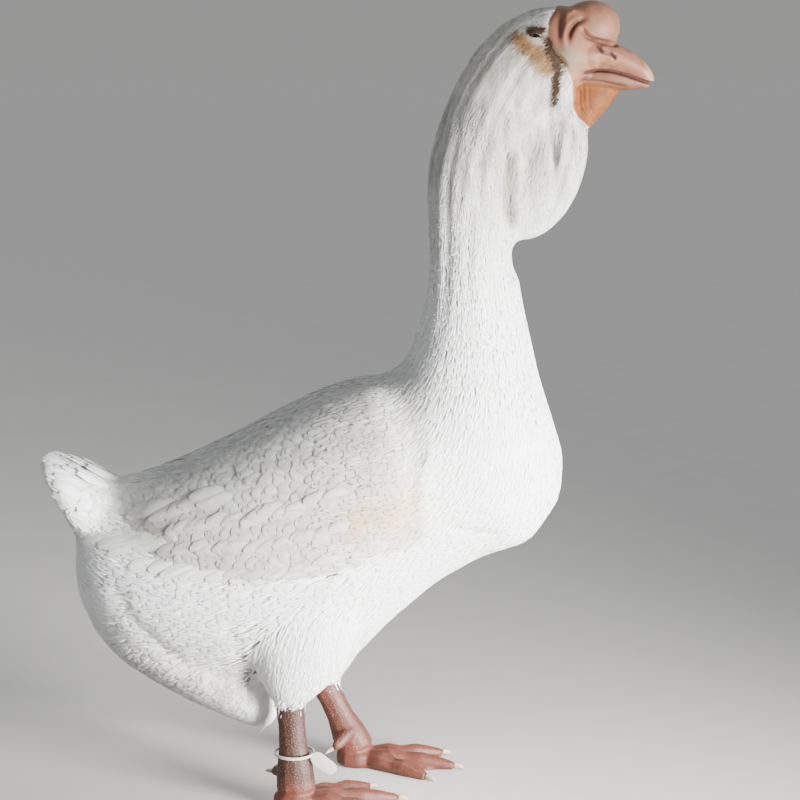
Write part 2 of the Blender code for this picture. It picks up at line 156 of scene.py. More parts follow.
eye_centre = middle("eye_R")
EYE_RADIUS = (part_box("eye_R")[1].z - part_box("eye_R")[0].z) / 2
print("eye:", [round(c, 4) for c in eye_centre], "radius", round(EYE_RADIUS, 4))


def on_face(*points):
    """Points in front of and above the eye, in millimetres, as (x, z) in metres."""
    return np.array([(eye_centre.x + x * MM, eye_centre.z + z * MM) for x, z in points])


def from_an_eye(points):
    """Distance of points from the centre of the eye on their own side."""
    return np.linalg.norm(np.abs(points) - np.abs(np.array(eye_centre)), axis=1)


# %% [markdown]
# ## Arrays for a surface
# The form of the goose has a few hundred thousand corners, far too many to move one by one. Its corners, edges and
# faces are therefore kept as numpy arrays, and smoothing and sculpting are sums over whole arrays.

# %% Read a mesh into arrays
def read_mesh(mesh):
    """Corners as (count, 3) and edges as (count, 2)."""
    corners = np.zeros(len(mesh.vertices) * 3, np.float32)
    mesh.vertices.foreach_get("co", corners)
    edges = np.zeros(len(mesh.edges) * 2, np.int32)
    mesh.edges.foreach_get("vertices", edges)
    return corners.reshape(-1, 3).astype(float), edges.reshape(-1, 2)


def loop_corners(mesh):
    """The corner that each face corner of a mesh sits on."""
    numbers = np.zeros(len(mesh.loops), np.int32)
    mesh.loops.foreach_get("vertex_index", numbers)
    return numbers


def normals_of(corners, faces):
    """Corner normals of a mesh of quads, from the cross of each quad's diagonals."""
    across = np.cross(corners[faces[:, 2]] - corners[faces[:, 0]], corners[faces[:, 3]] - corners[faces[:, 1]])
    total = np.zeros_like(corners)
    for corner in range(4):
        for axis in range(3):
            total[:, axis] += np.bincount(faces[:, corner], across[:, axis], len(corners))
    return unit(total)


# %% [markdown]
# Smoothing is the one tool used on everything: on places to melt facets away, on directions to make them swirl, on
# lengths to make them change gently. A modifier could smooth places, but not lengths or directions, so it is written
# out. Soft noise and soft steps are the two other sums that every later step asks for.

# %% Smoothing, unit lengths, soft steps and noise
def relaxed(values, edges, rounds, amount=0.6, momentum=0.0):
    """Each round moves every corner's values towards the mean of its neighbours'. The amount may differ by corner.
    Momentum carries part of each move on into the next round, which smooths wide forms in fewer rounds."""
    flat = values.ndim == 1
    values = values[:, None].copy() if flat else values.copy()
    count = len(values)
    ends = np.concatenate([edges[:, 0], edges[:, 1]])
    others = np.concatenate([edges[:, 1], edges[:, 0]])
    neighbours = np.maximum(np.bincount(ends, minlength=count), 1)
    amount = amount[:, None] if isinstance(amount, np.ndarray) else amount
    move = 0.0
    for _ in range(rounds):
        mean = np.stack([np.bincount(ends, values[others, k], count) for k in range(values.shape[1])], 1)
        move = amount * (mean / neighbours[:, None] - values) + momentum * move
        values += move
    return values[:, 0] if flat else values


def unit(vectors):
    return vectors / np.maximum(np.linalg.norm(vectors, axis=-1, keepdims=True), 1e-12)


def smoothstep(value, low, high):
    """0 below low, 1 above high, smooth between them."""
    share = np.clip((value - low) / (high - low), 0, 1)
    return share * share * (3 - 2 * share)


def noise_at(points, size):
    """Soft noise from -1 to 1, with lumps about size across."""
    return np.array([noise.noise(Vector(p) / size) for p in points])


# %% [markdown]
# ## One form under all the feathers
# The solids are parted where a person would name them, with cuts thinner than paper. Skin has no cuts. Each solid of
# flesh is copied, swollen just enough to close the cuts, and the copies are fused by a voxel remesh, which keeps only
# the outside of everything. Booleans could do it too, but would keep the solids' facets.

# %% The solids by what covers them
BARE_NODES = ["knob", "bill_upper", "bill_lower", "gular_pouch"]
BARE_NODES += [f"cheek_{part}_{side}" for part in ("fold", "lobe") for side in "LR"]
LEG_NODES = [f"{part}_{side}" for part in ("shank", "foot") for side in "LR"]
WING_NODES = ["wing_L", "wing_R"]
FEATHERED_NODES = ["rump", "trunk", "breast", "neck_lower", "neck_upper", "head", "thigh_L", "thigh_R"]
FEATHERED_NODES += ["paunch", "tail", "dewlap"]
EYE_NODES = ["eye_L", "eye_R"]
FLESH = FEATHERED_NODES + WING_NODES + BARE_NODES + LEG_NODES
print("feathered:", len(FEATHERED_NODES + WING_NODES), "bare:", len(BARE_NODES + LEG_NODES), "eyes:", len(EYE_NODES))

# %% [markdown]
# Swelling moves a copy's corners out along their normals. The eyeballs swell more than the rest, so that the skin over
# them has room for lids. The remesh works like pouring plaster round the lot: it finds one closed outside, in quads.

# %% Fuse solids into one skin of quads
SWELL = 0.4 * MM
LID_THICKNESS = 1.0 * MM


def swollen(node, by):
    """A welded copy of a solid, moved out along its normals."""
    shape = bmesh.new()
    shape.from_mesh(frame["nodes"][node].data)
    bmesh.ops.remove_doubles(shape, verts=shape.verts, dist=0.01 * MM)
    shape.normal_update()
    for corner in shape.verts:
        corner.co += corner.normal * by
    return shape


def fused(nodes, step, pads=()):
    """The outside of several solids as one mesh of quads. Pads are round fillings: (place, radius)."""
    whole = bpy.data.meshes.new("whole")
    shape = bmesh.new()
    for place, radius in pads:
        bmesh.ops.create_icosphere(shape, subdivisions=3, radius=radius, matrix=Matrix.Translation(place))
    for node in nodes:
        part = swollen(node, LID_THICKNESS if node in EYE_NODES else SWELL)
        part.to_mesh(whole)
        part.free()
        shape.from_mesh(whole)
    shape.to_mesh(whole)
    shape.free()
    holder = bpy.data.objects.new("whole", whole)
    bpy.context.scene.collection.objects.link(holder)
    remesh = holder.modifiers.new("fuse", "REMESH")
    remesh.mode = "VOXEL"
    remesh.voxel_size = step
    result = bpy.data.meshes.new_from_object(holder.evaluated_get(bpy.context.evaluated_depsgraph_get()))
    bpy.data.objects.remove(holder)
    return result


# %% [markdown]
# The corner between the throat and the cheek is hollow in the solids, where a living bird has loose skin filled with
# fat. Round pads laid into that corner before the fusing fill it, as a taxidermist packs it with clay.

# %% The form, with pads in the throat
FUSE_STEP = 1.5 * MM
# (in front of the eye, above it), out from the middle, radius
THROAT_PADS = [((38, -52), 10, 11), ((38, -64), 11, 12), ((37, -76), 12, 13), ((37, -88), 12, 12)]
THROAT_PADS += [((22, -70), 14, 17), ((20, -84), 14, 17), ((16, -98), 13, 17)]
pads = []
for point, aside, radius in THROAT_PADS:
    x, z = on_face(point)[0]
    pads += [((x, hand * aside * MM, z), radius * MM) for hand in (LEFT, RIGHT)]
form_mesh = fused(FLESH + EYE_NODES, FUSE_STEP, pads)
form, form_edges = read_mesh(form_mesh)
form_faces = loop_corners(form_mesh).reshape(-1, 4)
print("form:", len(form), "corners")


# %% [markdown]
# ## Which part each bit of skin belongs to
# Feathers are long on the wing and tiny on the face, so every corner of the form is told which solid it came from.
# One search tree over all the solids' triangles answers that for every corner.

# %% Name the solid under each corner
def ownership(points, nodes):
    """The number, in the list of nodes, of the solid nearest to each point."""
    corners, triangles, owner = [], [], []
    for number, node in enumerate(nodes):
        mesh = frame["nodes"][node].data
        first = len(corners)
        corners += [v.co for v in mesh.vertices]
        for face in mesh.polygons:
            triangles.append([first + v for v in face.vertices])
            owner.append(number)
    tree = BVHTree.FromPolygons(corners, triangles)
    return np.array([owner[tree.find_nearest(p)[2]] for p in points.tolist()])


owner = ownership(form, FLESH)


def part_of(*nodes):
    """True at the corners that came from these solids."""
    return np.isin(owner, [FLESH.index(n) for n in nodes])


is_leg = part_of(*LEG_NODES)
is_wing = part_of(*WING_NODES)
is_tail = part_of("tail")
print("corners on legs", int(is_leg.sum()), "on wings", int(is_wing.sum()))


# %% [markdown]
# ## Smoothing the form
# The solids are faceted, and a living goose isn't. Each corner is pulled towards its neighbours again and again. The
# pull is full on the body and weak on the bill and the toes, where the small forms would melt away.

# %% Smooth the body much, the bill and toes little
SOFTNESS = {("head", "dewlap"): 0.55, tuple(BARE_NODES): 0.16, ("knob",): 0.5}
SOFTNESS |= {("cheek_fold_L", "cheek_fold_R"): 1.0, tuple(LEG_NODES): 0.25, ("tail",): 0.45}
softness = np.ones(len(form))
for nodes, pull in SOFTNESS.items():
    softness[part_of(*nodes)] = pull
softness = relaxed(softness, form_edges, 6)
form = relaxed(form, form_edges, 26, 0.5 * softness)
form = relaxed(form, form_edges, 36, 0.6 * np.clip(softness * 1.6 - 0.6, 0, 1), momentum=0.85)
form_normal = normals_of(form, form_faces)
print("form smoothed, height", round(float(form[:, 2].max()), 4))


# %% [markdown]
# ## The line of the body, and the lie of the feathers
# Feathers point away from the bill and follow the body's long line down the neck and back to the tail. That line is a
# bent guide inside the goose. Each corner takes the guide's direction beside it, flattened onto the skin. Smoothing
# that over the surface makes the feathers swirl softly round the shoulders and thighs, as they do on a bird.

# %% The guide from tail to crown
GUIDE = [(-0.330, 0.340), (-0.290, 0.285), (-0.230, 0.262), (-0.160, 0.262), (-0.090, 0.280), (-0.020, 0.312)]
GUIDE += [(0.045, 0.352), (0.100, 0.395), (0.132, 0.440), (0.146, 0.500), (0.147, 0.570), (0.144, 0.640)]
GUIDE += [(0.146, 0.700), (0.156, 0.750), (0.178, 0.800), (0.205, 0.838), (0.240, 0.858), (0.285, 0.862)]


def resampled(points, count):
    """Evenly spaced points on a smooth line through the given ones."""
    points = np.array(points, float)
    before = np.vstack([2 * points[0] - points[1], points, 2 * points[-1] - points[-2]])
    fine = []
    for k in range(len(points) - 1):
        a, b, c, d = before[k : k + 4]
        for t in np.linspace(0, 1, 12, endpoint=False):
            bend, twist = 2 * a - 5 * b + 4 * c - d, 3 * b - a - 3 * c + d
            fine.append(0.5 * (2 * b + (c - a) * t + bend * t**2 + twist * t**3))
    fine = np.array(fine + [points[-1]])
    along = np.concatenate([[0], np.cumsum(np.linalg.norm(np.diff(fine, axis=0), axis=1))])
    places = np.linspace(0, along[-1], count)
    return np.stack([np.interp(places, along, fine[:, k]) for k in range(points.shape[1])], 1)


guide = resampled(GUIDE, 120)
guide_slope = unit(np.gradient(guide, axis=0))
print("guide:", round(float(np.linalg.norm(np.diff(guide, axis=0), axis=1).sum()), 3), "m long")

# %% [markdown]
# Each corner is matched with the nearest place on the guide. That gives its lie, and also two numbers, along and
# round, in which the skin can be unrolled like a label from a bottle.

# %% Every corner's place along the guide, and its lie
def beside_guide(points):
    """For each point: its place along the guide, from tail 0 to crown 1, its angle round it, and the slope there."""
    nearest = np.zeros(len(points), int)
    for start in range(0, len(points), 20000):
        piece = points[start : start + 20000, ::2]
        far = ((piece[:, None] - guide[None]) ** 2).sum(2)
        nearest[start : start + 20000] = far.argmin(1)
    off = points[:, ::2] - guide[nearest]
    slope = guide_slope[nearest]
    upward = off[:, 1] * slope[:, 0] - off[:, 0] * slope[:, 1]
    return nearest / (len(guide) - 1), np.arctan2(points[:, 1], upward), slope


form_along, form_round, slope = beside_guide(form)
lie = np.stack([-slope[:, 0], np.zeros(len(form)), -slope[:, 1]], 1)
print("corners along the guide, from", form_along.min().round(2), "to", form_along.max().round(2))

# %% [markdown]
# Some parts don't follow that line. The wing's feathers run together towards the folded tip, those of the thigh and
# the dewlap hang down, the paunch's sweep back and under, and the tail's point up and back.

# %% Where feathers leave the line of the body
WING_AIM = np.array([-0.42, 0, 0.342])
is_thigh = part_of("thigh_L", "thigh_R")
lie[is_wing] = unit(WING_AIM - form[is_wing] * [1, 0, 1])
lie[is_thigh] = (-0.35, 0, -1.0)
lie[part_of("paunch")] = (-0.75, 0, -0.55)
lie[is_tail] = (-0.90, 0, 0.38)
lie[part_of("dewlap")] = (-0.10, 0, -1.0)
lie[part_of("rump") & (form[:, 2] < 0.25)] = (-0.95, 0, -0.10)


def on_surface(vectors, normals):
    """Directions laid flat on the surface that has these normals."""
    return unit(vectors - normals * (vectors * normals).sum(1, keepdims=True))


lie = on_surface(lie, form_normal)
for _ in range(4):
    lie = on_surface(relaxed(lie, form_edges, 12), form_normal)
print("lie of the feathers set")

# %% [markdown]
# ## How deep the coat is
# Down and contour feathers stand about a centimetre deep on the belly of a goose this size, less on the neck and
# almost nothing on the face. The outline of the solids is the outside of the coat, so the skin lies that much inside.

# %% Coat depth at every corner
COAT_DEPTH = {"head": 2.2, "neck_upper": 4.5, "neck_lower": 6.0, "dewlap": 3.0, "breast": 8.0, "trunk": 8.0}
COAT_DEPTH |= {"rump": 8.0, "paunch": 8.0, "thigh_L": 7.0, "thigh_R": 7.0, "tail": 11.0, "wing_L": 7.0, "wing_R": 7.0}
depth = np.zeros(len(form))
for node, millimetres in COAT_DEPTH.items():
    depth[part_of(node)] = millimetres * MM
depth = relaxed(depth, form_edges, 40)
print("coat before thinning, mm:", round(depth.max() / MM, 1))

# %% [markdown]
# The face in front of the eye is bare, down the cheek and round the throat pouch. A line down the side of the head
# parts it from the feathers. The coat thins to nothing there, round the eye, on the legs and at the tip of the tail.

# %% The edge of the feathers on the face
EDGE_DOWN = [(31, 48), (27, 38), (22, 28), (16, 18), (13.5, 6), (14.5, -4), (20, -12), (28, -20), (34, -28), (38, -40)]
EDGE_DOWN += [(42, -50), (43, -76), (50, -87), (63, -98)]
FEATHER_EDGE = on_face(*reversed(EDGE_DOWN))


def bareness(points):
    """1 on the bare face and pouch, 0 under feathers, with a soft edge."""
    edge = np.interp(points[:, 2], FEATHER_EDGE[:, 1], FEATHER_EDGE[:, 0])
    above = smoothstep(points[:, 2], FEATHER_EDGE[0, 1] - 3 * MM, FEATHER_EDGE[0, 1] + 2 * MM)
    return smoothstep(points[:, 0] - edge, -1.0 * MM, 1.0 * MM) * above


bare = bareness(form)
from_eye = from_an_eye(form)
tail_reach = (form[:, 0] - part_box("tail")[0].x) / MM
tail_depth = (1.5 + 0.20 * np.maximum(tail_reach, 0)) * MM
depth = np.where(is_tail, np.minimum(depth, tail_depth), depth)
depth *= (1 - bare) * smoothstep(from_eye, 1.15 * EYE_RADIUS, 2.2 * EYE_RADIUS)
depth[is_leg] = 0
depth = relaxed(depth, form_edges, 3)
print("deepest coat, mm:", round(depth.max() / MM, 1))


# %% [markdown]
# ## Sculpting with strokes
# A sculptor presses a line into clay: a crease under the knob, the gape, the fold where the neck meets the dewlap. A
# stroke here is such a line, drawn on the side of the goose. Every corner near it moves in or out along its normal.

# %% A stroke over the form
def distance_to_line(points, line):
    """Distance of side-view points to a bent line, and the share of its length at the nearest place."""
    best = np.full(len(points), 1e9)
    place = np.zeros(len(points))
    lengths = np.concatenate([[0], np.cumsum(np.linalg.norm(np.diff(line, axis=0), axis=1))])
    for k in range(len(line) - 1):
        step = line[k + 1] - line[k]
        share = np.clip(((points - line[k]) @ step) / (step @ step), 0, 1)
        far = np.linalg.norm(points - line[k] - share[:, None] * step, axis=1)
        closer = far < best
        best[closer] = far[closer]
        place[closer] = (lengths[k] + share[closer] * (lengths[k + 1] - lengths[k])) / lengths[-1]
    return best, place


def line_mask(points, line, width, ends=0.12, sides=(LEFT, RIGHT), least_y=2 * MM):
    """1 on the line and fading over width, on the chosen sides of the goose."""
    line = resampled(line, 24)
    near = (points[:, 0] > line[:, 0].min() - 4 * width) & (points[:, 0] < line[:, 0].max() + 4 * width)
    near &= (points[:, 2] > line[:, 1].min() - 4 * width) & (points[:, 2] < line[:, 1].max() + 4 * width)
    near &= np.isin(np.sign(points[:, 1]), sides)
    mask = np.zeros(len(points))
    if near.any():
        far, place = distance_to_line(points[near][:, ::2], line)
        fade = smoothstep(np.minimum(place, 1 - place), -0.001, ends)
        mask[near] = np.exp(-((far / width) ** 2)) * fade * smoothstep(np.abs(points[near, 1]), 0, least_y)
    return mask


def stroke(line, width, height, **how):
    """Moves the form out by height along the line, or in where height is below 0."""
    global form
    form = form + form_normal * (line_mask(form, line, width, **how) * height)[:, None]


# %% [markdown]
# The face is worked in the order a sculptor would take: the crease under the knob, the folds behind it, the gape from
# the corner of the mouth round the tip, the edge of the lower bill, the nostrils, and the fine folds of the pouch.
# Beside most creases a low ridge is raised, because pressed skin swells next to the line.

# %% The creases and folds of the face
KNOB_CREASE = on_face((50, 11), (52, 8), (58, 0.5), (71, -4.5), (84, -6.5), (94, -9))
FOLD_FRONT = on_face((60, 21), (47, 17), (39.5, 8), (37, -1), (38.5, -11))
FOLD_REAR = on_face((34, 34), (28, 20), (26, 8), (27, -8), (31, -16))
GAPE = on_face((50, -40), (62, -36.5), (72, -35.5), (86, -36.5), (100, -40), (113, -44.5), (122, -47.5), (131, -49.5),
               (148, -51))
TO_THE_MIDDLE = 0.01 * MM
LOWER_EDGE = on_face((47, -52), (56, -47), (73, -48), (92, -52), (106, -54.5))
NOSTRIL = on_face((70, -12), (74.5, -15), (81, -18), (88, -20.5))
NARES = [on_face((69, -10.5), (74, -15.5)), on_face((84, -17), (88.5, -22.5))]
POUCH_REAR = on_face((43.5, -50), (44.5, -62), (45, -76), (52, -87), (62, -96))

stroke(KNOB_CREASE, 2.2 * MM, -4.0 * MM)
stroke(KNOB_CREASE + [1 * MM, 5 * MM], 3.0 * MM, 1.6 * MM)
stroke(FOLD_FRONT, 2.8 * MM, -5.0 * MM, ends=0.4)
stroke(FOLD_FRONT - [7 * MM, 0], 3.4 * MM, 2.4 * MM, ends=0.4)
stroke(FOLD_REAR, 4.2 * MM, -2.4 * MM, ends=0.5)
stroke(FOLD_REAR + [6 * MM, 0], 3.0 * MM, 1.2 * MM, ends=0.3)
stroke(GAPE, 1.8 * MM, -2.0 * MM, ends=0.06, least_y=TO_THE_MIDDLE)
for lip in (3.2 * MM, -3.2 * MM):
    stroke(GAPE + [0, lip], 1.6 * MM, 0.9 * MM, least_y=TO_THE_MIDDLE)
stroke(LOWER_EDGE, 1.4 * MM, -1.6 * MM)
stroke(NOSTRIL, 4.6 * MM, 2.8 * MM)
stroke(NOSTRIL, 2.0 * MM, -3.4 * MM)
for naris in NARES:
    stroke(naris, 1.9 * MM, -1.8 * MM, ends=0.3)
stroke(POUCH_REAR, 2.0 * MM, -1.2 * MM)
for across in (6, 11, 16):
    stroke(POUCH_REAR + [across * MM, 3 * MM], 1.6 * MM, -0.7 * MM)
form_normal = normals_of(form, form_faces)
print("face sculpted")

# %% [markdown]
# ## Folds of the neck and creases of the body
# The loose skin of a lion-head goose hangs in a dewlap with a ridge down each side, and the neck feathers part into
# soft grooves. They are strokes too, wider and shallower. Noise stretched along the lie makes the smaller grooves.

# %% Ridges, creases and grooves
RIDGE = on_face((37, -40), (35, -67), (35, -94), (33, -121), (29, -146))
RIDGE_BEHIND = on_face((23, -30), (20, -60), (18, -90), (21, -122), (26, -152), (26, -174))
RIDGE_FRONT = on_face((45, -86), (43, -108), (37, -138), (31, -164), (25, -186))
DEWLAP_REAR = on_face((-23, -118), (-25, -140), (-26, -166), (-25, -190), (-20, -212))
NECK_NOTCH = on_face((-16, -212), (-20, -236), (-17, -272))
NECK_GROOVES = [on_face((-33, -78), (-30, -120), (-24, -152)), on_face((-60, -95), (-58, -150), (-56, -205))]
NECK_GROOVES += [on_face((-2, -64), (-4, -100), (-6, -140)), on_face((-44, -220), (-43, -270), (-40, -310))]
WING_FRONT = [(0.095, 0.440), (0.083, 0.402), (0.078, 0.365), (0.085, 0.335)]
UNDER_BREAST = [(0.098, 0.338), (0.118, 0.335), (0.150, 0.322), (0.190, 0.318)]
PAUNCH_CREASE = [(-0.255, 0.270), (-0.235, 0.225), (-0.190, 0.180), (-0.145, 0.155), (-0.102, 0.150)]
THIGH_CREASE = [(-0.125, 0.235), (-0.120, 0.200), (-0.108, 0.170), (-0.092, 0.150)]
stroke(RIDGE, 5 * MM, 3.8 * MM)
stroke(RIDGE_BEHIND, 5.0 * MM, -3.2 * MM)
stroke(RIDGE_FRONT, 4.5 * MM, -3.0 * MM)
stroke(DEWLAP_REAR, 4.0 * MM, -6.0 * MM)
stroke(DEWLAP_REAR + [11 * MM, 0], 7 * MM, 2.6 * MM, ends=0.3)
stroke(NECK_NOTCH, 13 * MM, -6.0 * MM, ends=0.4, least_y=TO_THE_MIDDLE)
for groove in NECK_GROOVES:
    stroke(groove, 6 * MM, -1.8 * MM)
stroke(WING_FRONT, 8 * MM, -2.4 * MM, ends=0.3)
stroke(np.array(WING_FRONT) + [13 * MM, 0], 9 * MM, 1.8 * MM, ends=0.3)
stroke(UNDER_BREAST, 6 * MM, -3.0 * MM, ends=0.3)
stroke(PAUNCH_CREASE, 9 * MM, -3.0 * MM)
stroke(THIGH_CREASE, 9 * MM, -2.0 * MM)
print("neck and body creased")

# %% [markdown]
# The neck of a goose looks ploughed: its feathers stand in narrow furrows that run down and round it. Noise read in
# the neck's own directions, fast round it and slowly along it, gives furrows that follow the bend.

# %% Furrows of the neck
FURROW_SIZE, FURROW_DEPTH = 0.55, 1.6 * MM
on_neck = smoothstep(form[:, 2], 0.50, 0.62) * (1 - bare)
grooved = np.nonzero(on_neck > 0)[0]
spun = np.stack([form_round[grooved] * 2.6, form_along[grooved] * 5.0, np.zeros(len(grooved))], 1)
form[grooved] += form_normal[grooved] * (noise_at(spun, FURROW_SIZE) * on_neck[grooved] * FURROW_DEPTH)[:, None]
form_normal = normals_of(form, form_faces)
print("furrowed corners:", len(grooved))


# %% [markdown]
# ## The skin
# The skin is the form moved in by the coat's depth. Under feathers nobody sees it, so a Decimate modifier thins it
# there and leaves the face and the legs fine. A vertex group says where it may be thinned.

# %% Skin inside the coat
SKIN_TRIANGLES = 160000
THIN_STEPS = 4


def shown_mesh(name, mesh):
    """An object in the scene for a finished mesh, smooth all over."""
    mesh.name = name
    mesh.shade_smooth()
    piece = bpy.data.objects.new(name, mesh)
    bpy.context.scene.collection.objects.link(piece)
    return piece


skin_mesh = form_mesh.copy()
skin_mesh.vertices.foreach_set("co", (form - form_normal * depth[:, None]).astype(np.float32).ravel())
skin = shown_mesh("goose_skin", skin_mesh)
may_thin = skin.vertex_groups.new(name="may_thin")
hidden = np.clip(depth / (2.0 * MM), 0, 1)
for level in range(1, THIN_STEPS + 1):
    members = np.nonzero((hidden > (level - 1) / THIN_STEPS) & (hidden <= level / THIN_STEPS))[0]
    may_thin.add(members.tolist(), level / THIN_STEPS, "REPLACE")
thinner = skin.modifiers.new("thin", "DECIMATE")
thinner.ratio = min(1.0, SKIN_TRIANGLES / (2 * len(form_faces)))
thinner.vertex_group = may_thin.name
thinner.vertex_group_factor = 40
thinned = bpy.data.meshes.new_from_object(skin.evaluated_get(bpy.context.evaluated_depsgraph_get()))
skin.modifiers.clear()
skin.vertex_groups.clear()
skin.data = thinned
print("skin:", len(thinned.vertices), "corners")

# %% [markdown]
# ## Lids
# The skin was fused over the eyeballs too, which makes closed lids. A slit has to be opened in them. Its outline is
# an almond: longer than high, with pointed corners, tipped forwards and raised, because the upper lid of an old gander
# hangs low.

# %% The outline of the opening
OPENING = (8.4 * MM, 2.1 * MM)
OPENING_TILT = math.radians(-9)
OPENING_RAISED = 1.4 * MM


def almond(points):
    """How far out points beside the eye are, as a share of the opening: 1 on its rim."""
    across = points[:, 0] - eye_centre.x
    up = points[:, 2] - eye_centre.z - OPENING_RAISED
    along = across * math.cos(OPENING_TILT) + up * math.sin(OPENING_TILT)
    over = up * math.cos(OPENING_TILT) - across * math.sin(OPENING_TILT)
    return np.sqrt((np.abs(along) / OPENING[0]) ** 1.6 + (np.abs(over) / OPENING[1]) ** 1.6)


print("opening:", round(2 * OPENING[0] / MM, 1), "by", round(2 * OPENING[1] / MM, 1), "mm")

# %% [markdown]
# The skin's faces round the eye are cut finer, then skin inside the almond is pushed down behind the front of the
# ball. Corners close to the outline are first slid onto it, so that the rim of the lids is a clean line.

# %% Open the eyes
LID_RIM = 0.6 * MM
EYE_SINK = 1.6 * MM


def open_eye(shape, hand):
    """Cuts the skin finer round one eye and opens the slit between its lids."""
    centre = Vector((eye_centre.x, hand * abs(eye_centre.y), eye_centre.z))
    for reach in (1.7, 1.3):
        round_eye = {e for v in shape.verts if (v.co - centre).length < reach * EYE_RADIUS for e in v.link_edges}
        bmesh.ops.subdivide_edges(shape, edges=list(round_eye), cuts=1, use_grid_fill=True)
    near = [v for v in shape.verts if (v.co - centre).length < 1.75 * EYE_RADIUS and v.co.y * hand > 0.02]
    bmesh.ops.smooth_vert(shape, verts=near, factor=0.5, use_axis_x=True, use_axis_y=True, use_axis_z=True)
    for corner in near:
        share = float(almond(np.array([corner.co]))[0])
        if abs(share - 1) < 0.12:
            for axis in (0, 2):
                pivot = centre[axis] + (OPENING_RAISED if axis == 2 else 0)
                corner.co[axis] = pivot + (corner.co[axis] - pivot) / share
            share = 1.0
        out = corner.co - centre
        flat = math.hypot(out.x, out.z)
        rim = math.exp(-(((share - 1.12) / 0.25) ** 2)) * LID_RIM
        if share < 0.99 and flat < EYE_RADIUS:
            corner.co = centre + out.normalized() * (EYE_RADIUS - EYE_SINK)
        elif flat < 1.02 * EYE_RADIUS:
            lid = max(out.length, EYE_RADIUS + LID_THICKNESS)
            corner.co = centre + out.normalized() * (lid + rim)


shape = bmesh.new()
shape.from_mesh(skin.data)
for hand in (LEFT, RIGHT):
    open_eye(shape, hand)
bmesh.ops.triangulate(shape, faces=[f for f in shape.faces if len(f.verts) > 4])
shape.to_mesh(skin.data)
shape.free()
skin.data.shade_smooth()
print("eyes opened, skin:", len(skin.data.vertices), "corners")


# %% [markdown]
# ## Markings
# A white goose is never plain white. Tears stain the feathers round the eye brown and beige, and rust from the
# drinking water tints the wing. Shade is painted in as well: over the back and the folded wing, on the upper neck,
# under the vent, in the fold behind the dewlap and beside the cheek. Each marking is a mask made from a line or a
# patch on the goose, worked out for any point. Skin and feathers ask the same function, so they agree.

# %% Where the stains and the painted shadow beside the cheek lie
TEAR_LINES = [(on_face((7, 5), (11, -1), (14, -10), (18, -21), (23, -34)), 6.0 * MM)]
TEAR_LINES += [(on_face((14, -8), (19, -22), (22.5, -34), (23, -50)), 5.5 * MM)]
TEAR_LINES += [(on_face((20.5, -32), (21.5, -52), (20, -82)), 5.0 * MM)]
TEAR_LINES += [(on_face((-12, 4), (-4, 6.5), (4, 6.5), (11, 3)), 4.5 * MM)]
# A dark band beside the cheek, along the edge of the feathers: painted shadow.
CHEEK_SHADOW_LINE = (on_face((27, -4), (29, -14), (33, -24), (32, -38)), 11 * MM)
BEIGE_LINES = [(on_face((-17, 9), (-17, -4), (-9, -13), (5, -14)), 12 * MM)]
BEIGE_LINES += [(on_face((-14, -6), (-4, -16), (6, -26), (12, -38), (14, -52)), 13 * MM)]
RUST_PATCHES = [((0.030, 0.360), 0.016), ((0.050, 0.352), 0.026), ((0.012, 0.345), 0.020), ((0.072, 0.366), 0.018)]
WING_LOWER = [(0.097, 0.333), (0.050, 0.315), (-0.011, 0.299), (-0.098, 0.289), (-0.193, 0.298), (-0.255, 0.345)]
TAN_PATCHES = [((-0.206, 0.322), 0.020), ((-0.130, 0.300), 0.022), ((-0.060, 0.330), 0.020)]
HEAD_FROM = 0.74


def patches(points, spots):
    """Round soft patches on both flanks, each given by its place from the side and its radius."""
    total = np.zeros(len(points))
    for (x, z), radius in spots:
        far = np.hypot(points[:, 0] - x, points[:, 2] - z) / radius
        total = np.maximum(total, np.exp(-(far**2)))
    return total * smoothstep(np.abs(points[:, 1]), 0.03, 0.06)


def lines(points, drawn):
    """The lines' masks with ragged edges, on the head only."""
    total = np.zeros(len(points))
    near = np.nonzero(points[:, 2] > HEAD_FROM)[0]
    if len(near):
        ragged = points[near] + noise_at(points[near] * [1, 1, 0.4], 5 * MM)[:, None] * [1.8 * MM, 0, 1.0 * MM]
        total[near] = np.max([line_mask(ragged, line, width, ends=0.32) for line, width in drawn], axis=0)
    return total


# %% [markdown]
# Painted shade covers the whole back and the folded wing, so its mask is a product of soft steps. It starts sharply at
# the front edge of the wing, where the feathers of the breast overlap it and shade it.

# %% Painted shade on the back and the wing
def back_shading(points):
    """1 on the back and the folded wing, 0 on the breast, neck and belly.

    The edge is sharp along the wing's front and soft where the back runs up into the neck."""
    front = np.array(sorted(WING_FRONT, key=lambda place: place[1]))
    lower = np.array(sorted(WING_LOWER))
    ahead = points[:, 0] - np.interp(points[:, 2], front[:, 1], front[:, 0])
    above = points[:, 2] - np.interp(points[:, 0], lower[:, 0], lower[:, 1])
    soft = smoothstep(points[:, 2], 0.40, 0.50)
    wing = 1 - smoothstep(ahead, -(2 + 30 * soft) * MM, (6 + 12 * soft) * MM)
    upwards = 1 - smoothstep(points[:, 2], 0.455, 0.545)
    return wing * upwards * smoothstep(above, -16 * MM, -7 * MM) * smoothstep(points[:, 0], -0.262, -0.205)


# %% [markdown]
# Shade is painted on the upper neck, under the vent and in the fold behind the dewlap. All the markings are then
# gathered in one function, and kept on a mesh as attributes: a number for each corner that a material can read by
# name.

# %% Painted shade, and all the markings together
def neck_and_vent_shade(points):
    """Painted shade: 1 on the upper neck and under the vent, more in the fold behind the dewlap, 0 on the breast."""
    neck = smoothstep(points[:, 2], 0.54, 0.76)
    under = smoothstep(-points[:, 2], -0.25, -0.14) * smoothstep(-points[:, 0], 0.07, 0.15)
    fold = line_mask(points, DEWLAP_REAR, 6 * MM, ends=0.3) * 2.2
    return neck + under + fold


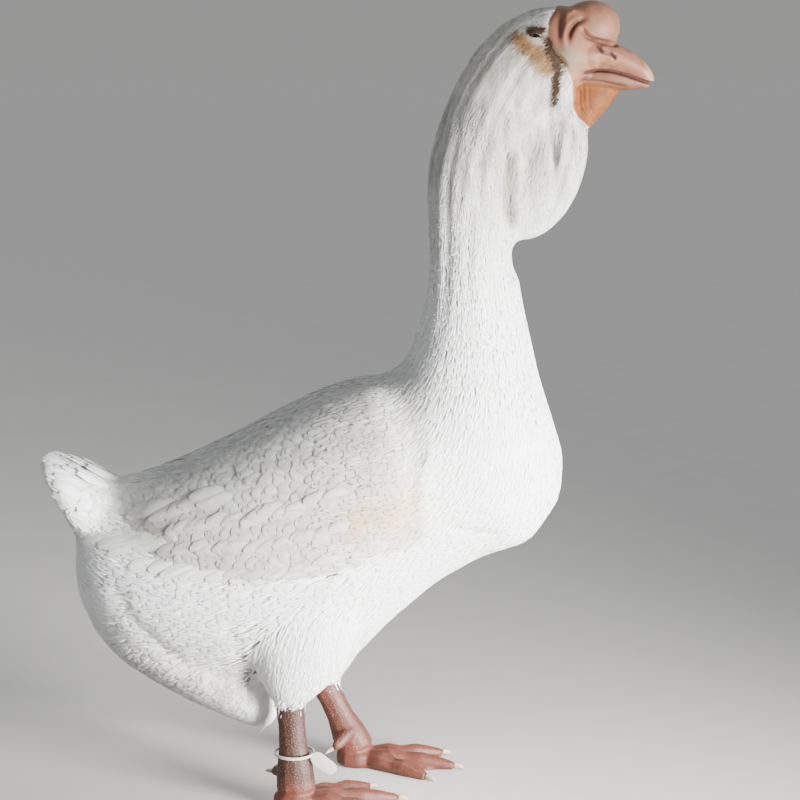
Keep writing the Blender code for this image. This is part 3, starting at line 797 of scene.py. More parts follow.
def markings(points):
    """Every marking's mask, by name."""
    return {
        "painted_shade": neck_and_vent_shade(points),
        "back_shade": back_shading(points),
        "tear": lines(points, TEAR_LINES),
        "cheek_shadow": lines(points, [CHEEK_SHADOW_LINE]),
        "beige": lines(points, BEIGE_LINES),
        "rust": patches(points, RUST_PATCHES),
        "tan": patches(points, TAN_PATCHES),
    }


def add_masks(mesh, masks):
    """Keeps masks on a mesh as attributes, which materials read by name."""
    for name, values in masks.items():
        layer = mesh.attributes.new(name, "FLOAT", "POINT")
        layer.data.foreach_set("value", np.asarray(values, np.float32))


print("dusty share of the form:", round(float(back_shading(form).mean()), 3))

# %% [markdown]
# ## A feather
# A contour feather is a thin curved blade: narrow at the root, widest past its middle, round at the end. Seen from
# outside only its last third shows, as the next feather covers the rest. It is built as a thin closed shell, a few
# dozen faces, whose spine steps over the form along the lie, rising from the skin to the outside of the coat. Where
# the form turns away sharply, as at the hem of the thigh, a blade goes straight on, and that makes the loose wisps.
# A spine needs the nearest place on the form at every step, and a search tree answers that at once.

# %% Search trees over the form
form_tree = BVHTree.FromPolygons(form.tolist(), form_faces.tolist())
form_points = KDTree(len(form))
for number, point in enumerate(form.tolist()):
    form_points.insert(point, number)
form_points.balance()
print("search trees ready")

# %% [markdown]
# A blade is built from stations along its spine and a ring of corners at each. Small blades have four corners in a
# ring, contour feathers six, and the long quills eight, with a raised shaft. Stations crowd towards the round tip.

# %% Stations, rings and the outline of a blade
CONTOUR = (0.0, 0.30, 0.56, 0.75, 0.89, 0.97, 1.0)
TUFT = (0.0, 0.42, 0.80, 1.0)
SLIM = (0.0, 0.45, 0.82, 1.0)
QUILL = (0.0, 0.15, 0.32, 0.48, 0.64, 0.78, 0.88, 0.95, 0.985, 1.0)
SHEET = 0.26 * MM
# (across, arch, face): across from edge -1 to edge 1, the share of the arch, and outside 1 or underside -1
EDGE_A, EDGE_B = (-1, 0, 0), (1, 0, 0)
RINGS = {
    4: [EDGE_A, (0, 1, 1), EDGE_B, (0, 1, -1)],
    6: [EDGE_A, (-0.5, 0.75, 1), (0.5, 0.75, 1), EDGE_B, (0.5, 0.75, -1), (-0.5, 0.75, -1)],
    8: [EDGE_A, (-0.5, 0.75, 1), (0, 1, 3), (0.5, 0.75, 1), EDGE_B, (0.5, 0.75, -1), (0, 1, -1), (-0.5, 0.75, -1)],
}


def outline(place, widest, root=0.35, tip=0.12):
    """Half width of a blade as a share of its greatest, at a place from root 0 to tip 1."""
    grow = root + (1 - root) * smoothstep(place, 0, widest)
    end = np.clip((place - widest) / (1 - widest), 0, 1)
    return grow * np.maximum(np.sqrt(np.clip(1 - end**2.2, 0, 1)), tip)


print("triangles in a contour feather:", 2 * (6 * (len(CONTOUR) - 1) + 4))

# %% [markdown]
# The spine is walked over the form: a step along the heading, then back to the nearest place on the form, then a
# slight turn towards the lie found there. A spine that is more than a little way off the form isn't pulled back.

# %% Walk the spines
def follow(start, heading, length, stations, bend, leave):
    """Steps each blade's spine over the form. Gives places on the form, its normals and headings there."""
    count = len(start)
    spots = np.zeros((count, len(stations), 3))
    ups = np.zeros_like(spots)
    ways = np.zeros_like(spots)
    here, way = start.copy(), heading.copy()
    up = np.zeros_like(start)
    for k, place in enumerate(stations):
        if k:
            here = here + way * (length * (place - stations[k - 1]))[:, None]
        for n in range(count):
            spot, _, face, far = form_tree.find_nearest(here[n].tolist())
            if k == 0 or far < leave:
                corner = form_faces[face][0]
                here[n] = spot
                up[n] = form_normal[corner]
                way[n] = way[n] + bend * lie[corner]
        way = on_surface(way, up)
        spots[:, k], ups[:, k], ways[:, k] = here, up, way
    return spots, ups, ways


# %% [markdown]
# Corners are set round the spines. The root lies deep in the coat and the blade rises from it to the outside. Each
# blade gets its own turn, lift and ragged edge, drawn from a generator with a fixed seed, so every run is the same.

# %% Blades, many at a time
def make_blades(start, heading, length, width, rng, deep, stations=CONTOUR, yaw=8.0, lift=0.5, camber=0.07,
                bend=0.25, ribs=6, widest=0.62, ragged=0.08, rise=2.0, sunk=(0.1, 0.6), leave=2.5):
    """Blades over the form. Gives corners (blade, station, rib, 3) and each corner's place u, v on its blade."""
    count = len(start)
    spots, ups, _ = follow(start, heading, length * 0, (0.0,), 0, 1)
    up = ups[:, 0]
    turn = np.radians(rng.normal(0, yaw, count))[:, None]
    heading = on_surface(heading, up)
    heading = heading * np.cos(turn) + np.cross(up, heading) * np.sin(turn)
    spots, ups, ways = follow(spots[:, 0], heading, length, stations, bend, leave * MM)
    lifts = rng.uniform(0.0, 1.0, count) * lift * MM
    sinks = rng.uniform(*sunk, count) * MM
    corners = np.zeros((count, len(stations), ribs, 3))
    u = np.zeros((count, len(stations), ribs))
    v = np.zeros_like(u)
    for k, place in enumerate(stations):
        raised = -deep * (1 - place) ** rise - sinks + lifts * place**3
        spine = spots[:, k] + ups[:, k] * raised[:, None]
        across = unit(np.cross(ups[:, k], ways[:, k]))
        half = width / 2 * outline(place, widest)
        wobble = 1 + rng.normal(0, ragged, (2, count)) * (place > 0.5)
        for r, (sideways, arch, face) in enumerate(RINGS[ribs]):
            reach = half * sideways * (wobble[0] if sideways < 0 else wobble[1])
            high = (arch - 1) * camber * half + face * SHEET / 2 * (1.2 - place)
            corners[:, k, r] = spine + across * reach[:, None] + ups[:, k] * high[:, None]
            u[:, k, r], v[:, k, r] = 0.5 + 0.5 * sideways, place
    return corners, u, v


def covering(own, slim, rng, layer=0.5, **how):
    """Blades rooted at corners of the form, with the length and lie found there, through part of the coat's depth."""
    start = form[own] + rng.normal(0, 0.3 * MM, (len(own), 3))
    vary = rng.uniform(0.86, 1.14, len(own))
    return make_blades(start, lie[own], grown[own] * vary, grown[own] * slim, rng, depth[own] * layer, **how)


# %% [markdown]
# ## Pieces of the coat
# The map OFBake needs a place for every blade. Each blade becomes a small patch at the place of its root on the
# unrolled skin, so colour baked onto it is that of the goose there. A second map, `vane`, runs over each blade from
# edge to edge and from root to tip, for the barbs and the shaft.

# %% Places on the unrolled skin, and the faces of blades
PATCH = 0.003


def place_on_unwrap(points):
    """The skin unrolled: distance along the guide one way, angle round it the other, both from 0 to 1."""
    along, angle, _ = beside_guide(points)
    return along, angle / (2 * math.pi) + 0.5


def blade_faces(index):
    """Quads round each blade and over its ends. The index numbers corners by blade, station and rib."""
    ribs = index.shape[2]
    round_on = np.roll(index, -1, axis=2)
    wall = np.stack([index[:, :-1], index[:, 1:], round_on[:, 1:], round_on[:, :-1]], -1).reshape(-1, 4)
    caps = []
    for end, turn in ((0, 1), (-1, -1)):
        for j in range(ribs // 2 - 1):
            caps.append(index[:, end][:, [j, j + 1, ribs - 2 - j, ribs - 1 - j][::turn]])
    return np.concatenate([wall] + caps)


def mesh_of_quads(name, corners, quads, maps):
    """A mesh from arrays, with UV maps given by corner."""
    mesh = bpy.data.meshes.new(name)
    mesh.vertices.add(len(corners))
    mesh.vertices.foreach_set("co", corners.astype(np.float32).ravel())
    mesh.loops.add(4 * len(quads))
    mesh.loops.foreach_set("vertex_index", quads.astype(np.int32).ravel())
    mesh.polygons.add(len(quads))
    mesh.polygons.foreach_set("loop_start", np.arange(0, 4 * len(quads), 4, dtype=np.int32))
    mesh.update(calc_edges=True)
    for layer, values in maps.items():
        mesh.uv_layers.new(name=layer).data.foreach_set("uv", values[quads.ravel()].astype(np.float32).ravel())
    return mesh


# %% [markdown]
# A blade has one tone of its own and one set of markings, read near its tip, because a feather is stained as a whole.
# The edges of a blade are marked sharp, or smooth shading would run round from its outside to its underside.

# %% Join blades into one piece
def coat_piece(name, batches):
    """Joins batches of blades, each given as its corners and their u and v, into one piece of the coat."""
    parts = {key: [] for key in ("corners", "quads", "OFBake", "vane", "rim", "tone")}
    stains = []
    first = 0
    generator = np.random.default_rng(len(batches[0][0]))
    spread = [place_on_unwrap(batch[0][:, 0].mean(1)) for batch in batches]
    low = [min(s[axis].min() for s in spread) for axis in (0, 1)]
    high = [max(s[axis].max() for s in spread) for axis in (0, 1)]
    for (points, u, v), places in zip(batches, spread):
        count, stations, ribs, _ = points.shape
        size = stations * ribs
        parts["quads"].append(blade_faces(first + np.arange(count * size).reshape(count, stations, ribs)))
        parts["corners"].append(points.reshape(-1, 3))
        share = [(p - a) / (b - a) * (1 - 2 * PATCH) + PATCH for p, a, b in zip(places, low, high)]
        patch = [share[0][:, None, None] + (v - 0.5) * PATCH, share[1][:, None, None] + (u - 0.5) * PATCH]
        parts["OFBake"].append(np.stack(patch, -1).reshape(-1, 2))
        parts["vane"].append(np.stack([u, v], -1).reshape(-1, 2))
        parts["rim"].append(np.isin(u, (0.0, 1.0)).reshape(-1))
        parts["tone"].append(np.repeat(generator.uniform(0, 1, count), size))
        near_tip = points[:, -2].mean(1)
        stains.append({key: np.repeat(values, size) for key, values in markings(near_tip).items()})
        first += count * size
    parts = {key: np.concatenate(values) for key, values in parts.items()}
    maps = {layer: parts[layer] for layer in ("OFBake", "vane")}
    mesh = mesh_of_quads(name, parts["corners"], parts["quads"], maps)
    add_masks(mesh, {"tone": parts["tone"]} | {key: np.concatenate([m[key] for m in stains]) for key in stains[0]})
    piece = shown_mesh(name, mesh)
    edges = read_mesh(mesh)[1]
    mesh.attributes.new("sharp_edge", "BOOLEAN", "EDGE").data.foreach_set("value", parts["rim"][edges].all(1))
    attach(piece, "root")
    print(name, "feathers:", sum(len(b[0]) for b in batches), "triangles:", 2 * len(parts["quads"]))
    return piece


# %% [markdown]
# ## Where the feathers grow
# Feathers sit in rows, evenly but never on a grid. Corners of the form are taken in a random order, and each one
# taken strikes out its neighbours within a spacing, so what is left is even and irregular at once. The spacing and
# the size change smoothly over the goose: a few millimetres on the cheek, four centimetres on the flank.

# %% Feather length at every corner
LENGTH = {"head": 8.0, "neck_upper": 14.0, "dewlap": 11.0, "neck_lower": 20.0, "breast": 28.0, "trunk": 34.0}
LENGTH |= {"rump": 36.0, "paunch": 34.0, "thigh_L": 26.0, "thigh_R": 26.0, "tail": 46.0}
LENGTH |= {"wing_L": 36.0, "wing_R": 36.0}
LEAST_LENGTH = 12.0
grown = np.full(len(form), LEAST_LENGTH)
for node, millimetres in LENGTH.items():
    grown[part_of(node)] = millimetres
grown = relaxed(grown, form_edges, 30, momentum=0.8)
face_share = smoothstep(from_eye, 0.012, 0.040)
grown = np.where(is_tail, np.clip(tail_reach - 6.0, LEAST_LENGTH, grown), grown)
grown = np.where(part_of("head", "neck_upper"), grown * (0.55 + 0.45 * face_share), grown) * MM
print("feathers from", round(grown.min() / MM, 1), "to", round(grown.max() / MM, 1), "mm long")

# %% [markdown]
# Roots keep off the bare skin and off the slit of the eye, and so does every place that a feather grown from a root
# would cover. The same scattering serves the tufts and the scales later, each with a seed of its own.

# %% Roots scattered over the form
SPACING_SHARE = 0.23


def scattered(allowed, spacing, seed):
    """Corners of the form at least a spacing apart."""
    order = np.nonzero(allowed)[0]
    np.random.default_rng(seed).shuffle(order)
    free = np.zeros(len(form), bool)
    free[order] = True
    chosen = []
    for number in order.tolist():
        if free[number]:
            chosen.append(number)
            for _, other, _ in form_points.find_range(form[number].tolist(), float(spacing[number])):
                free[other] = False
    return np.array(chosen)


feathered = (bare < 0.5) & ~is_leg & (from_eye > 1.12 * EYE_RADIUS)
for place in (form, form + lie * grown[:, None], form + lie * grown[:, None] * 0.6):
    feathered &= (almond(place) > 1.7) | (from_eye > 0.035)
spacing = np.clip(grown * SPACING_SHARE, 2.0 * MM, 9.0 * MM)
roots = scattered(feathered, spacing, seed=4)
print("feather roots:", len(roots))


def roots_on(nodes, among):
    """Those of the roots that sit on certain solids."""
    return among[np.isin(owner[among], [FLESH.index(n) for n in nodes])]


# %% [markdown]
# The coat is parted into pieces that a person would name, so that none is too heavy to handle. Feathers of the body
# are broad blades. Those of the neck and head are small and slim, so a lighter blade with four corners a ring does.

# %% Contour feathers of the body, thighs, neck and head
rng = np.random.default_rng(11)
BODY_PARTS = {"breast": ["breast"], "trunk": ["trunk"], "rump": ["rump", "paunch"], "thighs": ["thigh_L", "thigh_R"]}
NECK_PARTS = {name: [name] for name in ("neck_lower", "neck_upper", "dewlap", "head")}
BROAD = {"slim": 0.56, "lift": 0.2, "sunk": (0.3, 0.8), "leave": 5.0}
SMALL = {"slim": 0.46, "sunk": (0.2, 0.6), "stations": TUFT, "ribs": 4, "camber": 0.2, "widest": 0.5}
coat = []
for parts, how in ((BODY_PARTS, BROAD), (NECK_PARTS, SMALL)):
    for name, nodes in parts.items():
        coat.append(coat_piece(f"coat_{name}", [covering(roots_on(nodes, roots), rng=rng, **how)]))

# %% [markdown]
# ## Loose barbs
# The margins of body feathers are loose, so the coat of a live goose looks soft and streaked, not like roof tiles.
# A second layer of slim pointed tufts over the contour feathers does that. They are closer together and shorter, and
# start near the outside of the coat.

# %% Slim tufts over everything but the long quills
SLIM_SPACING_SHARE = 0.165
POINTED = {"stations": SLIM, "ribs": 4, "camber": 0.2, "widest": 0.4}
SHOULDER_REACH = 0.10
slim_spacing = np.clip(grown * SLIM_SPACING_SHARE, 1.8 * MM, 5.4 * MM)
behind_shoulder = is_wing & (form[:, 0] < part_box("wing_R")[1].x - SHOULDER_REACH)
slim_roots = scattered(feathered & ~is_tail & ~behind_shoulder, slim_spacing, seed=9)
for name, nodes in (BODY_PARTS | NECK_PARTS | {"wings": WING_NODES}).items():
    own = roots_on(nodes, slim_roots)
    start = form[own] + rng.normal(0, 0.4 * MM, (len(own), 3))
    long = (grown[own] * 0.50 + 4.5 * MM) * rng.uniform(0.75, 1.25, len(own))
    wide = (grown[own] * 0.050 + 0.9 * MM) * rng.uniform(0.8, 1.2, len(own))
    blades = make_blades(start, lie[own], long, wide, rng, depth[own] * 0.13, lift=0.25, ragged=0.1, sunk=(0.0, 0.25),
                         leave=4.0, **POINTED)
    slot = "wing_feathers" if name == "wings" else "feathers"
    coat.append(coat_piece(f"barbs_{name}", [blades]))


# %% [markdown]
# ## Wisps
# A few feathers always stand off: the hem over the shank, the fluff behind the vent, a tuft on the breast and one on
# the flank. They are the same blades. They start along the form and are let go at once, so they run on straight.

# %% Wisps at the hems, the rear edge, the breast and the flank
def near(x, z, reach):
    """True close to a place seen from the side, on both flanks."""
    return (np.hypot(form[:, 0] - x, form[:, 2] - z) < reach) & (np.abs(form[:, 1]) > 0.01) & ~is_leg


thigh_low = np.where(form[:, 1] > 0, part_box("thigh_L")[0].z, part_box("thigh_R")[0].z)
hem = is_thigh & (form[:, 2] < thigh_low + 0.016) & (form[:, 2] > 0.112)
rear = part_of("rump", "paunch") & (form[:, 0] < -0.262) & (form[:, 2] > 0.17)
WISPS = [
    # where, how many, heading, length, width
    (hem, 150, (-0.15, 0, -1.0), 15, 2.0),
    (rear, 110, (-0.40, 0, -0.90), 12, 1.7),
    (near(0.245, 0.405, 0.012), 16, (0.30, 0, 0.95), 10, 1.8),
    (near(-0.114, 0.288, 0.008) & (form[:, 1] < 0), 14, (-0.10, 0, -1.0), 17, 1.8),
]
batches = []
for where, count, heading, length, width in WISPS:
    start = form[rng.choice(np.nonzero(where)[0], count)]
    long = length * MM * rng.uniform(0.6, 1.25, count)
    wide = width * MM * rng.uniform(0.8, 1.2, count)
    ways = np.tile(np.array(heading, float), (count, 1))
    batches.append(make_blades(start, ways, long, wide, rng, np.full(count, 1.5 * MM), yaw=14, lift=1.2, sunk=(0, 0.3),
                               leave=0.4, **POINTED))
coat.append(coat_piece("wisps", batches))


# %% [markdown]
# ## The folded wing
# On the folded wing small coverts lie over the shoulder, larger coverts over those, and the long flight feathers show
# only along the lower edge and as a bundle of tips over the rump. The coverts grow like the body's feathers. The
# quills are set in rows, each root given by how far along the wing it sits and how far up from the lower edge.

# %% A spot on the folded wing
def wing_spot(hand, along, up):
    """Along the wing from tip 0 to shoulder 1, and up from its lower edge 0 to its upper edge 1."""
    mine = form[is_wing & (form[:, 1] * hand > 0)]
    x = mine[:, 0].min() + along * np.ptp(mine[:, 0])
    column = mine[np.abs(mine[:, 0] - x) < 4 * MM]
    z = column[:, 2].min() + up * np.ptp(column[:, 2])
    return column[np.argmin(np.abs(column[:, 2] - z) - 0.2 * np.abs(column[:, 1]))]


def row(hand, count, first, last, rng):
    """Evenly spaced spots on the wing, from one (along, up) to another."""
    shares = np.linspace(first, last, count) + rng.normal(0, 0.01, (count, 2))
    return np.array([wing_spot(hand, *np.clip(share, 0.02, 0.98)) for share in shares])


print("shoulder of the wing:", wing_spot(RIGHT, 0.98, 0.5).round(3))

# %% [markdown]
# The rows, from below: the primaries' tips at the rear, the secondaries along the lower edge, two rows of greater
# coverts that overlap them like roof tiles, and the tertials, broad and long, over the folded tip.

# %% Coverts and quills
def quills(start, heading, length, width, high, rng, **how):
    """Long stiff feathers from explicit roots."""
    count = len(start)
    size = length * MM * rng.uniform(0.92, 1.08, count)
    how = {"camber": 0.10, "leave": 7.0, "bend": 0.04, "yaw": 3.5, "lift": 0.4, "widest": 0.6} | how
    return make_blades(start, heading, size, np.full(count, width * MM), rng, np.full(count, 5 * MM), stations=QUILL,
                       ribs=8, sunk=(-high - 0.4, -high), **how)


QUILL_ROWS = [
    # feathers, first and last spot (along, up), length, width, drop of the heading, height over the coat
    (9, (0.36, 0.42), (0.20, 0.52), 120, 15, -0.26, 0.4),
    (18, (0.84, 0.12), (0.24, 0.16), 66, 15, -0.48, 0.2),
    (17, (0.86, 0.30), (0.30, 0.34), 56, 15, -0.44, 0.5),
    (16, (0.84, 0.48), (0.30, 0.54), 50, 15, -0.38, 0.8),
    (9, (0.50, 0.66), (0.24, 0.76), 76, 19, -0.28, 0.9),
]
wings = []
for hand, letter in ((LEFT, "L"), (RIGHT, "R")):
    batches = [covering(roots_on([f"wing_{letter}"], roots), 0.50, rng, lift=0.2, leave=7.0)]
    for count, first, last, length, width, drop, high in QUILL_ROWS:
        spots = row(hand, count, first, last, rng)
        heading = unit(np.array([[-1.0, 0.0, drop]])).repeat(count, 0)
        batches.append(quills(spots, heading, length, width, high, rng))
    piece = coat_piece(f"wing_feathers_{letter}", batches)
    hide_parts(f"wing_{letter}")
    wings.append(piece)

# %% [markdown]
# ## The tail
# A goose carries sixteen or so broad tail feathers in a shallow fan, with soft coverts above and below them. The
# coverts grow on the form of the tail. The fan is set from its base outwards, each quill a little further round.

# %% Tail fan and its coverts
TAIL_ROWS = [
    # feathers a side, roots from (x, z) to (x, z), heading, length, width, height over the form
    (7, (-0.262, 0.380), (-0.292, 0.335), (-0.90, 0.43), 82, 16, 0.0),
    (5, (-0.250, 0.378), (-0.272, 0.352), (-0.91, 0.41), 62, 15, 1.2),
    (6, (-0.262, 0.296), (-0.292, 0.312), (-0.66, 0.75), 66, 15, 0.4),
    (5, (-0.250, 0.300), (-0.275, 0.318), (-0.70, 0.71), 54, 14, 2.0),
    (4, (-0.246, 0.384), (-0.258, 0.366), (-0.92, 0.40), 44, 17, 3.0),
]
tail_form = form[is_tail]
tail_end = tail_form[:, 0].min()


def tail_spot(hand, x, z):
    """The corner of the tail's form seen at that place from the side, the outermost where several are."""
    far = np.hypot(tail_form[:, 0] - x, tail_form[:, 2] - z) - 0.2 * tail_form[:, 1] * hand
    return tail_form[np.argmin(far)]


coverts = roots_on(["tail"], roots)
coverts = coverts[form[coverts, 0] > tail_end + 7 * MM]
batches = [covering(coverts, 0.42, rng, sunk=(0.3, 1.2), leave=3.5)]
for count, first, last, way, length, width, high in TAIL_ROWS:
    for hand in (LEFT, RIGHT):
        line = np.linspace(first, last, count)
        start = np.array([tail_spot(hand, x, z) for x, z in line])
        fan = np.linspace(-0.10, 0.16, count) * hand
        heading = np.stack([np.full(count, way[0]), fan, np.full(count, way[1])], 1)
        room = (start[:, 0] - tail_end - 0.6 * (0.380 - start[:, 2])) / MM + rng.uniform(-6, 13, count)
        batches.append(quills(start, heading, np.minimum(length, room), width, high, rng, leave=6.0))
tail_piece = coat_piece("tail_feathers", batches)
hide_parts("tail")


# %% [markdown]
# ## Materials and stains
# A material starts as an empty tree, gets its colour, bump and roughness as sums, and ends in one Principled shader.
# The stains read the masks and break them up with noise. They are laid over any colour, of a feather or of skin.

# %% Starting and ending a material, masks and noise
def mask(name):
    """A mask kept on the mesh, as a value."""
    return Value.put("ShaderNodeAttribute", {"attribute_name": name}, out=2)


def new_material(name):
    """An empty material, whose tree the next values go into."""
    made = bpy.data.materials.new(name)
    made.use_nodes = True
    made.node_tree.nodes.clear()
    Value.tree = made.node_tree
    return made


def finished(shader_inputs):
    """Ends a material: a Principled shader with these inputs, joined to the output."""
    shader = Value.put("ShaderNodeBsdfPrincipled", **shader_inputs)
    Value.put("ShaderNodeOutputMaterial", Surface=shader)


def speckle(size, detail=3.0, rough=0.55, where=None):
    """Noise from 0 to 1 over object coordinates, with lumps about size across."""
    place = where or Value.put("ShaderNodeTexCoord", out=3)
    return Value.put("ShaderNodeTexNoise", Vector=place, Scale=1.0 / size, Detail=detail, Roughness=rough)


# %% [markdown]
# Tears and rust sit in the outer barbs only, so they are plain tints laid over the clean colour, and so are the
# painted shadow beside the cheek and the painted shade of the neck and the vent. Noise breaks each one into patches,
# and the painted shade of the neck is drawn into streaks.

# %% Stains and painted shade
STAINS_AND_SHADOW = [
    # marking, strength, colour
    ("beige", 1.4, (0.19, 0.105, 0.042)),
    ("tan", 0.5, (0.47, 0.39, 0.29)),
    ("rust", 0.85, (0.53, 0.37, 0.16)),
    # painted shadow beside the cheek
    ("cheek_shadow", 1.3, (0.085, 0.052, 0.022)),
    ("tear", 2.0, (0.028, 0.013, 0.005)),
]
# Colours of painted shade: the first for the neck, the vent and the dewlap's fold, the second for the back and the
# folded wing.
SHADE_COLOUR, BACK_SHADE_COLOUR = (0.33, 0.31, 0.265), (0.43, 0.412, 0.375)
STREAK_STRETCH = (1.0, 1.0, 0.22)


def stained_and_shadowed(colour):
    """Lays the goose's stains, and the painted shadow beside the cheek, over a colour."""
    patchy = speckle(5 * MM).between(0.25, 0.75) * 0.4 + 0.7
    for marking, strength, tone in STAINS_AND_SHADOW:
        colour = mixed((mask(marking) * patchy * strength).clamped(), colour, tone)
    return colour


def with_painted_shade(colour):
    """Painted shade, drawn in streaks down the neck and the rear and along the dewlap's fold, on feathers and the skin
    under them.
    """
    place = Value.put("ShaderNodeTexCoord", out=3)
    drawn_down = Value.put("ShaderNodeVectorMath", {"operation": "MULTIPLY"}, i0=place, i1=STREAK_STRETCH)
    streaks = speckle(9 * MM, where=drawn_down).between(0.3, 0.7)
    return mixed((mask("painted_shade") * (0.50 + 0.45 * streaks)).clamped(), colour, SHADE_COLOUR)


print("stains:", ", ".join(marking for marking, _, _ in STAINS_AND_SHADOW))

# %% [markdown]
# ## What feathers are made of
# Barbs slant out from the shaft, too fine to model, so a sine wave over the blade makes them as colour and bump. The
# base of each feather is painted darker than its tip, as shade where the feathers over it lie, and no two feathers
# have quite the same tone. The back and the folded wing get painted shade, less at each feather's end, which draws the
# edges as light scallops. Light passes through a coat, so the shader scatters it.

# %% Feather materials
BARB_PITCH, BARB_SLANT, BARBS = 1.3, 0.8, 260.0


def feather_material(name, tip, base, dull, through=2.5 * MM):
    """White vanes from a base colour to a tip colour: the darker base is painted shade. Dull is how far a feather's
    own tone may go to the base's.
    """
    made = new_material(name)
    u = Value.put("ShaderNodeSeparateXYZ", Vector=Value.put("ShaderNodeUVMap", {"uv_map": "vane"}))
    v = Value(u.socket.node.outputs[1])
    side = Value.put("ShaderNodeMath", {"operation": "ABSOLUTE"}, i0=u - 0.5)
    barb = Value.put("ShaderNodeMath", {"operation": "SINE"}, i0=(v * BARB_PITCH - side * BARB_SLANT) * BARBS)
    shaft = 1 - side.between(0.0, 0.05)
    tone = mask("tone")
    # Painted shade: each feather darker towards its root, where the feathers over it shade it.
    colour = mixed(v.between(0.05, 0.7), base, tip)
    colour = mixed((tone * dull).clamped(), colour, base)
    colour = mixed(shaft * 0.2, colour, base)
    colour = mixed((barb * 0.5 + 0.5) * 0.06, colour, base)
    streaks = speckle(7 * MM).between(0.3, 0.75)
    # Painted shade over the back and the wing: streaked, varied by tone, and lighter at each feather's end.
    back_shade = mask("back_shade") * (0.50 + 0.35 * streaks + 0.25 * tone) * (1 - 0.4 * v.between(0.93, 1.0))
    colour = mixed(back_shade.clamped(), colour, BACK_SHADE_COLOUR)
    colour = stained_and_shadowed(with_painted_shade(colour))
    bump = Value.put("ShaderNodeBump", Strength=0.2, Distance=0.12 * MM, Height=barb * 0.5 + shaft * 2.0)
    finished({"Base_Color": colour, "Roughness": 0.66 + 0.1 * tone, "Normal": bump, "Specular_IOR_Level": 0.2,
              "Subsurface_Weight": 0.5, "Subsurface_Radius": (1.0, 0.9, 0.8), "Subsurface_Scale": through})
    return made


white_feathers = feather_material("white_feathers", (0.88, 0.875, 0.86), (0.80, 0.785, 0.76), 0.16)
head_feathers = feather_material("head_feathers", (0.80, 0.79, 0.76), (0.72, 0.70, 0.66), 0.16, 0.5 * MM)
wing_feathers = feather_material("wing_feathers", (0.84, 0.825, 0.79), (0.70, 0.68, 0.64), 0.35)
tail_quills = feather_material("tail_quills", (0.88, 0.87, 0.85), (0.60, 0.585, 0.56), 0.25)
for piece in coat:
    special = {"barbs_wings": wing_feathers, "barbs_head": head_feathers, "coat_head": head_feathers}
    piece.data.materials.append(special.get(piece.name, white_feathers))
for piece in wings:
    piece.data.materials.append(wing_feathers)
tail_piece.data.materials.append(tail_quills)
print("pieces of coat with a material:", len(coat) + len(wings) + 1)

# %% [markdown]
# ## The bare face
# The knob is smooth and waxy, the throat pouch is orange, and the bill is pink with a pale nail at its tip. The
# creases and the folds behind the knob get painted shade, dark and red in their depths. The skin is one mesh, so one
# material lays these over each other, each with a mask of its own. The masks ask the lines that were sculpted, so a
# colour always sits in its crease.

# %% Where each tone of the face lies
def round_mask(points, centre, radius):
    """1 at a place seen from the side, fading over the radius."""
    return np.exp(-((np.hypot(points[:, 0] - centre[0], points[:, 2] - centre[1]) / radius) ** 2))


def beside(points, line, reach):
    """1 on a line seen from the side and fading over the reach, past its ends too."""
    return np.exp(-((distance_to_line(points[:, ::2], line)[0] / reach) ** 2))


CREASES = [(KNOB_CREASE, 1.5 * MM), (FOLD_FRONT, 2.3 * MM), (FOLD_REAR, 1.5 * MM)]
TEMPLE = on_face((24, 22), (20, 6), (23, -8), (30, -18))
CHEEK = on_face((48, -22))[0]
POUCH_BACK = on_face((43, 0))[0, 0]
skin_points, _ = read_mesh(skin.data)
front, high = skin_points[:, 0], skin_points[:, 2]


def in_creases(wider, ends):
    """The creases behind the knob and under it, at some times their own width."""
    return np.max([line_mask(skin_points, line, wider * width, ends=ends) for line, width in CREASES], axis=0)


bill_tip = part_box("bill_upper")[1].x
gape_height = np.interp(front, GAPE[:, 0], GAPE[:, 1])
pouch_top = np.interp(front, LOWER_EDGE[:, 0], LOWER_EDGE[:, 1])
in_pouch = smoothstep(pouch_top - high, -1 * MM, 2 * MM) * smoothstep(front - POUCH_BACK, 0, 4 * MM)
face_masks = {
    "bare": bareness(skin_points),
    "cheek": round_mask(skin_points, CHEEK, 12 * MM),
    "nail": smoothstep(front, bill_tip - 13 * MM, bill_tip - 6 * MM),
    "temple": beside(skin_points, TEMPLE, 7 * MM),
    # painted shade, wide round the creases
    "fold_shade": in_creases(3.6, ends=0.3),
    "pouch": in_pouch,
    "jaw": smoothstep(gape_height - high, 0.5 * MM, 2 * MM) * (1 - in_pouch)
    * smoothstep(front, GAPE[0, 0], GAPE[0, 0] + 6 * MM),
    # painted shade in the creases
    "crease_shade": in_creases(1.0, ends=0.4) * (0.55 + 0.45 * noise_at(skin_points, 9 * MM)),
    "gape": line_mask(skin_points, GAPE, 1.8 * MM, ends=0.10, least_y=TO_THE_MIDDLE),
    "band": line_mask(skin_points, LOWER_EDGE + [0, 1.5 * MM], 3.6 * MM, ends=0.2),
    # painted shade in the nostril's groove, darkest in its two openings
    "nostril": beside(skin_points, NOSTRIL, 2.2 * MM),
    "pit": np.max([beside(skin_points, naris, 1.7 * MM) for naris in NARES], axis=0),
}
print("bare share of the skin:", round(float(face_masks["bare"].mean()), 3))

# %% [markdown]
# The lids have a dark rim and a pale ring round it. The legs are brown pink, and their shanks are painted darker as
# shade under the body, more on the right one than on the left.

# %% Where the lids, the legs and the painted shade of the shanks lie
def shank_shade(points):
    """Share of painted shade: none on the feet, some on the left shank, most on the right."""
    return smoothstep(points[:, 2], 0.022, 0.045) * np.where(points[:, 1] < 0, 0.80, 0.35)


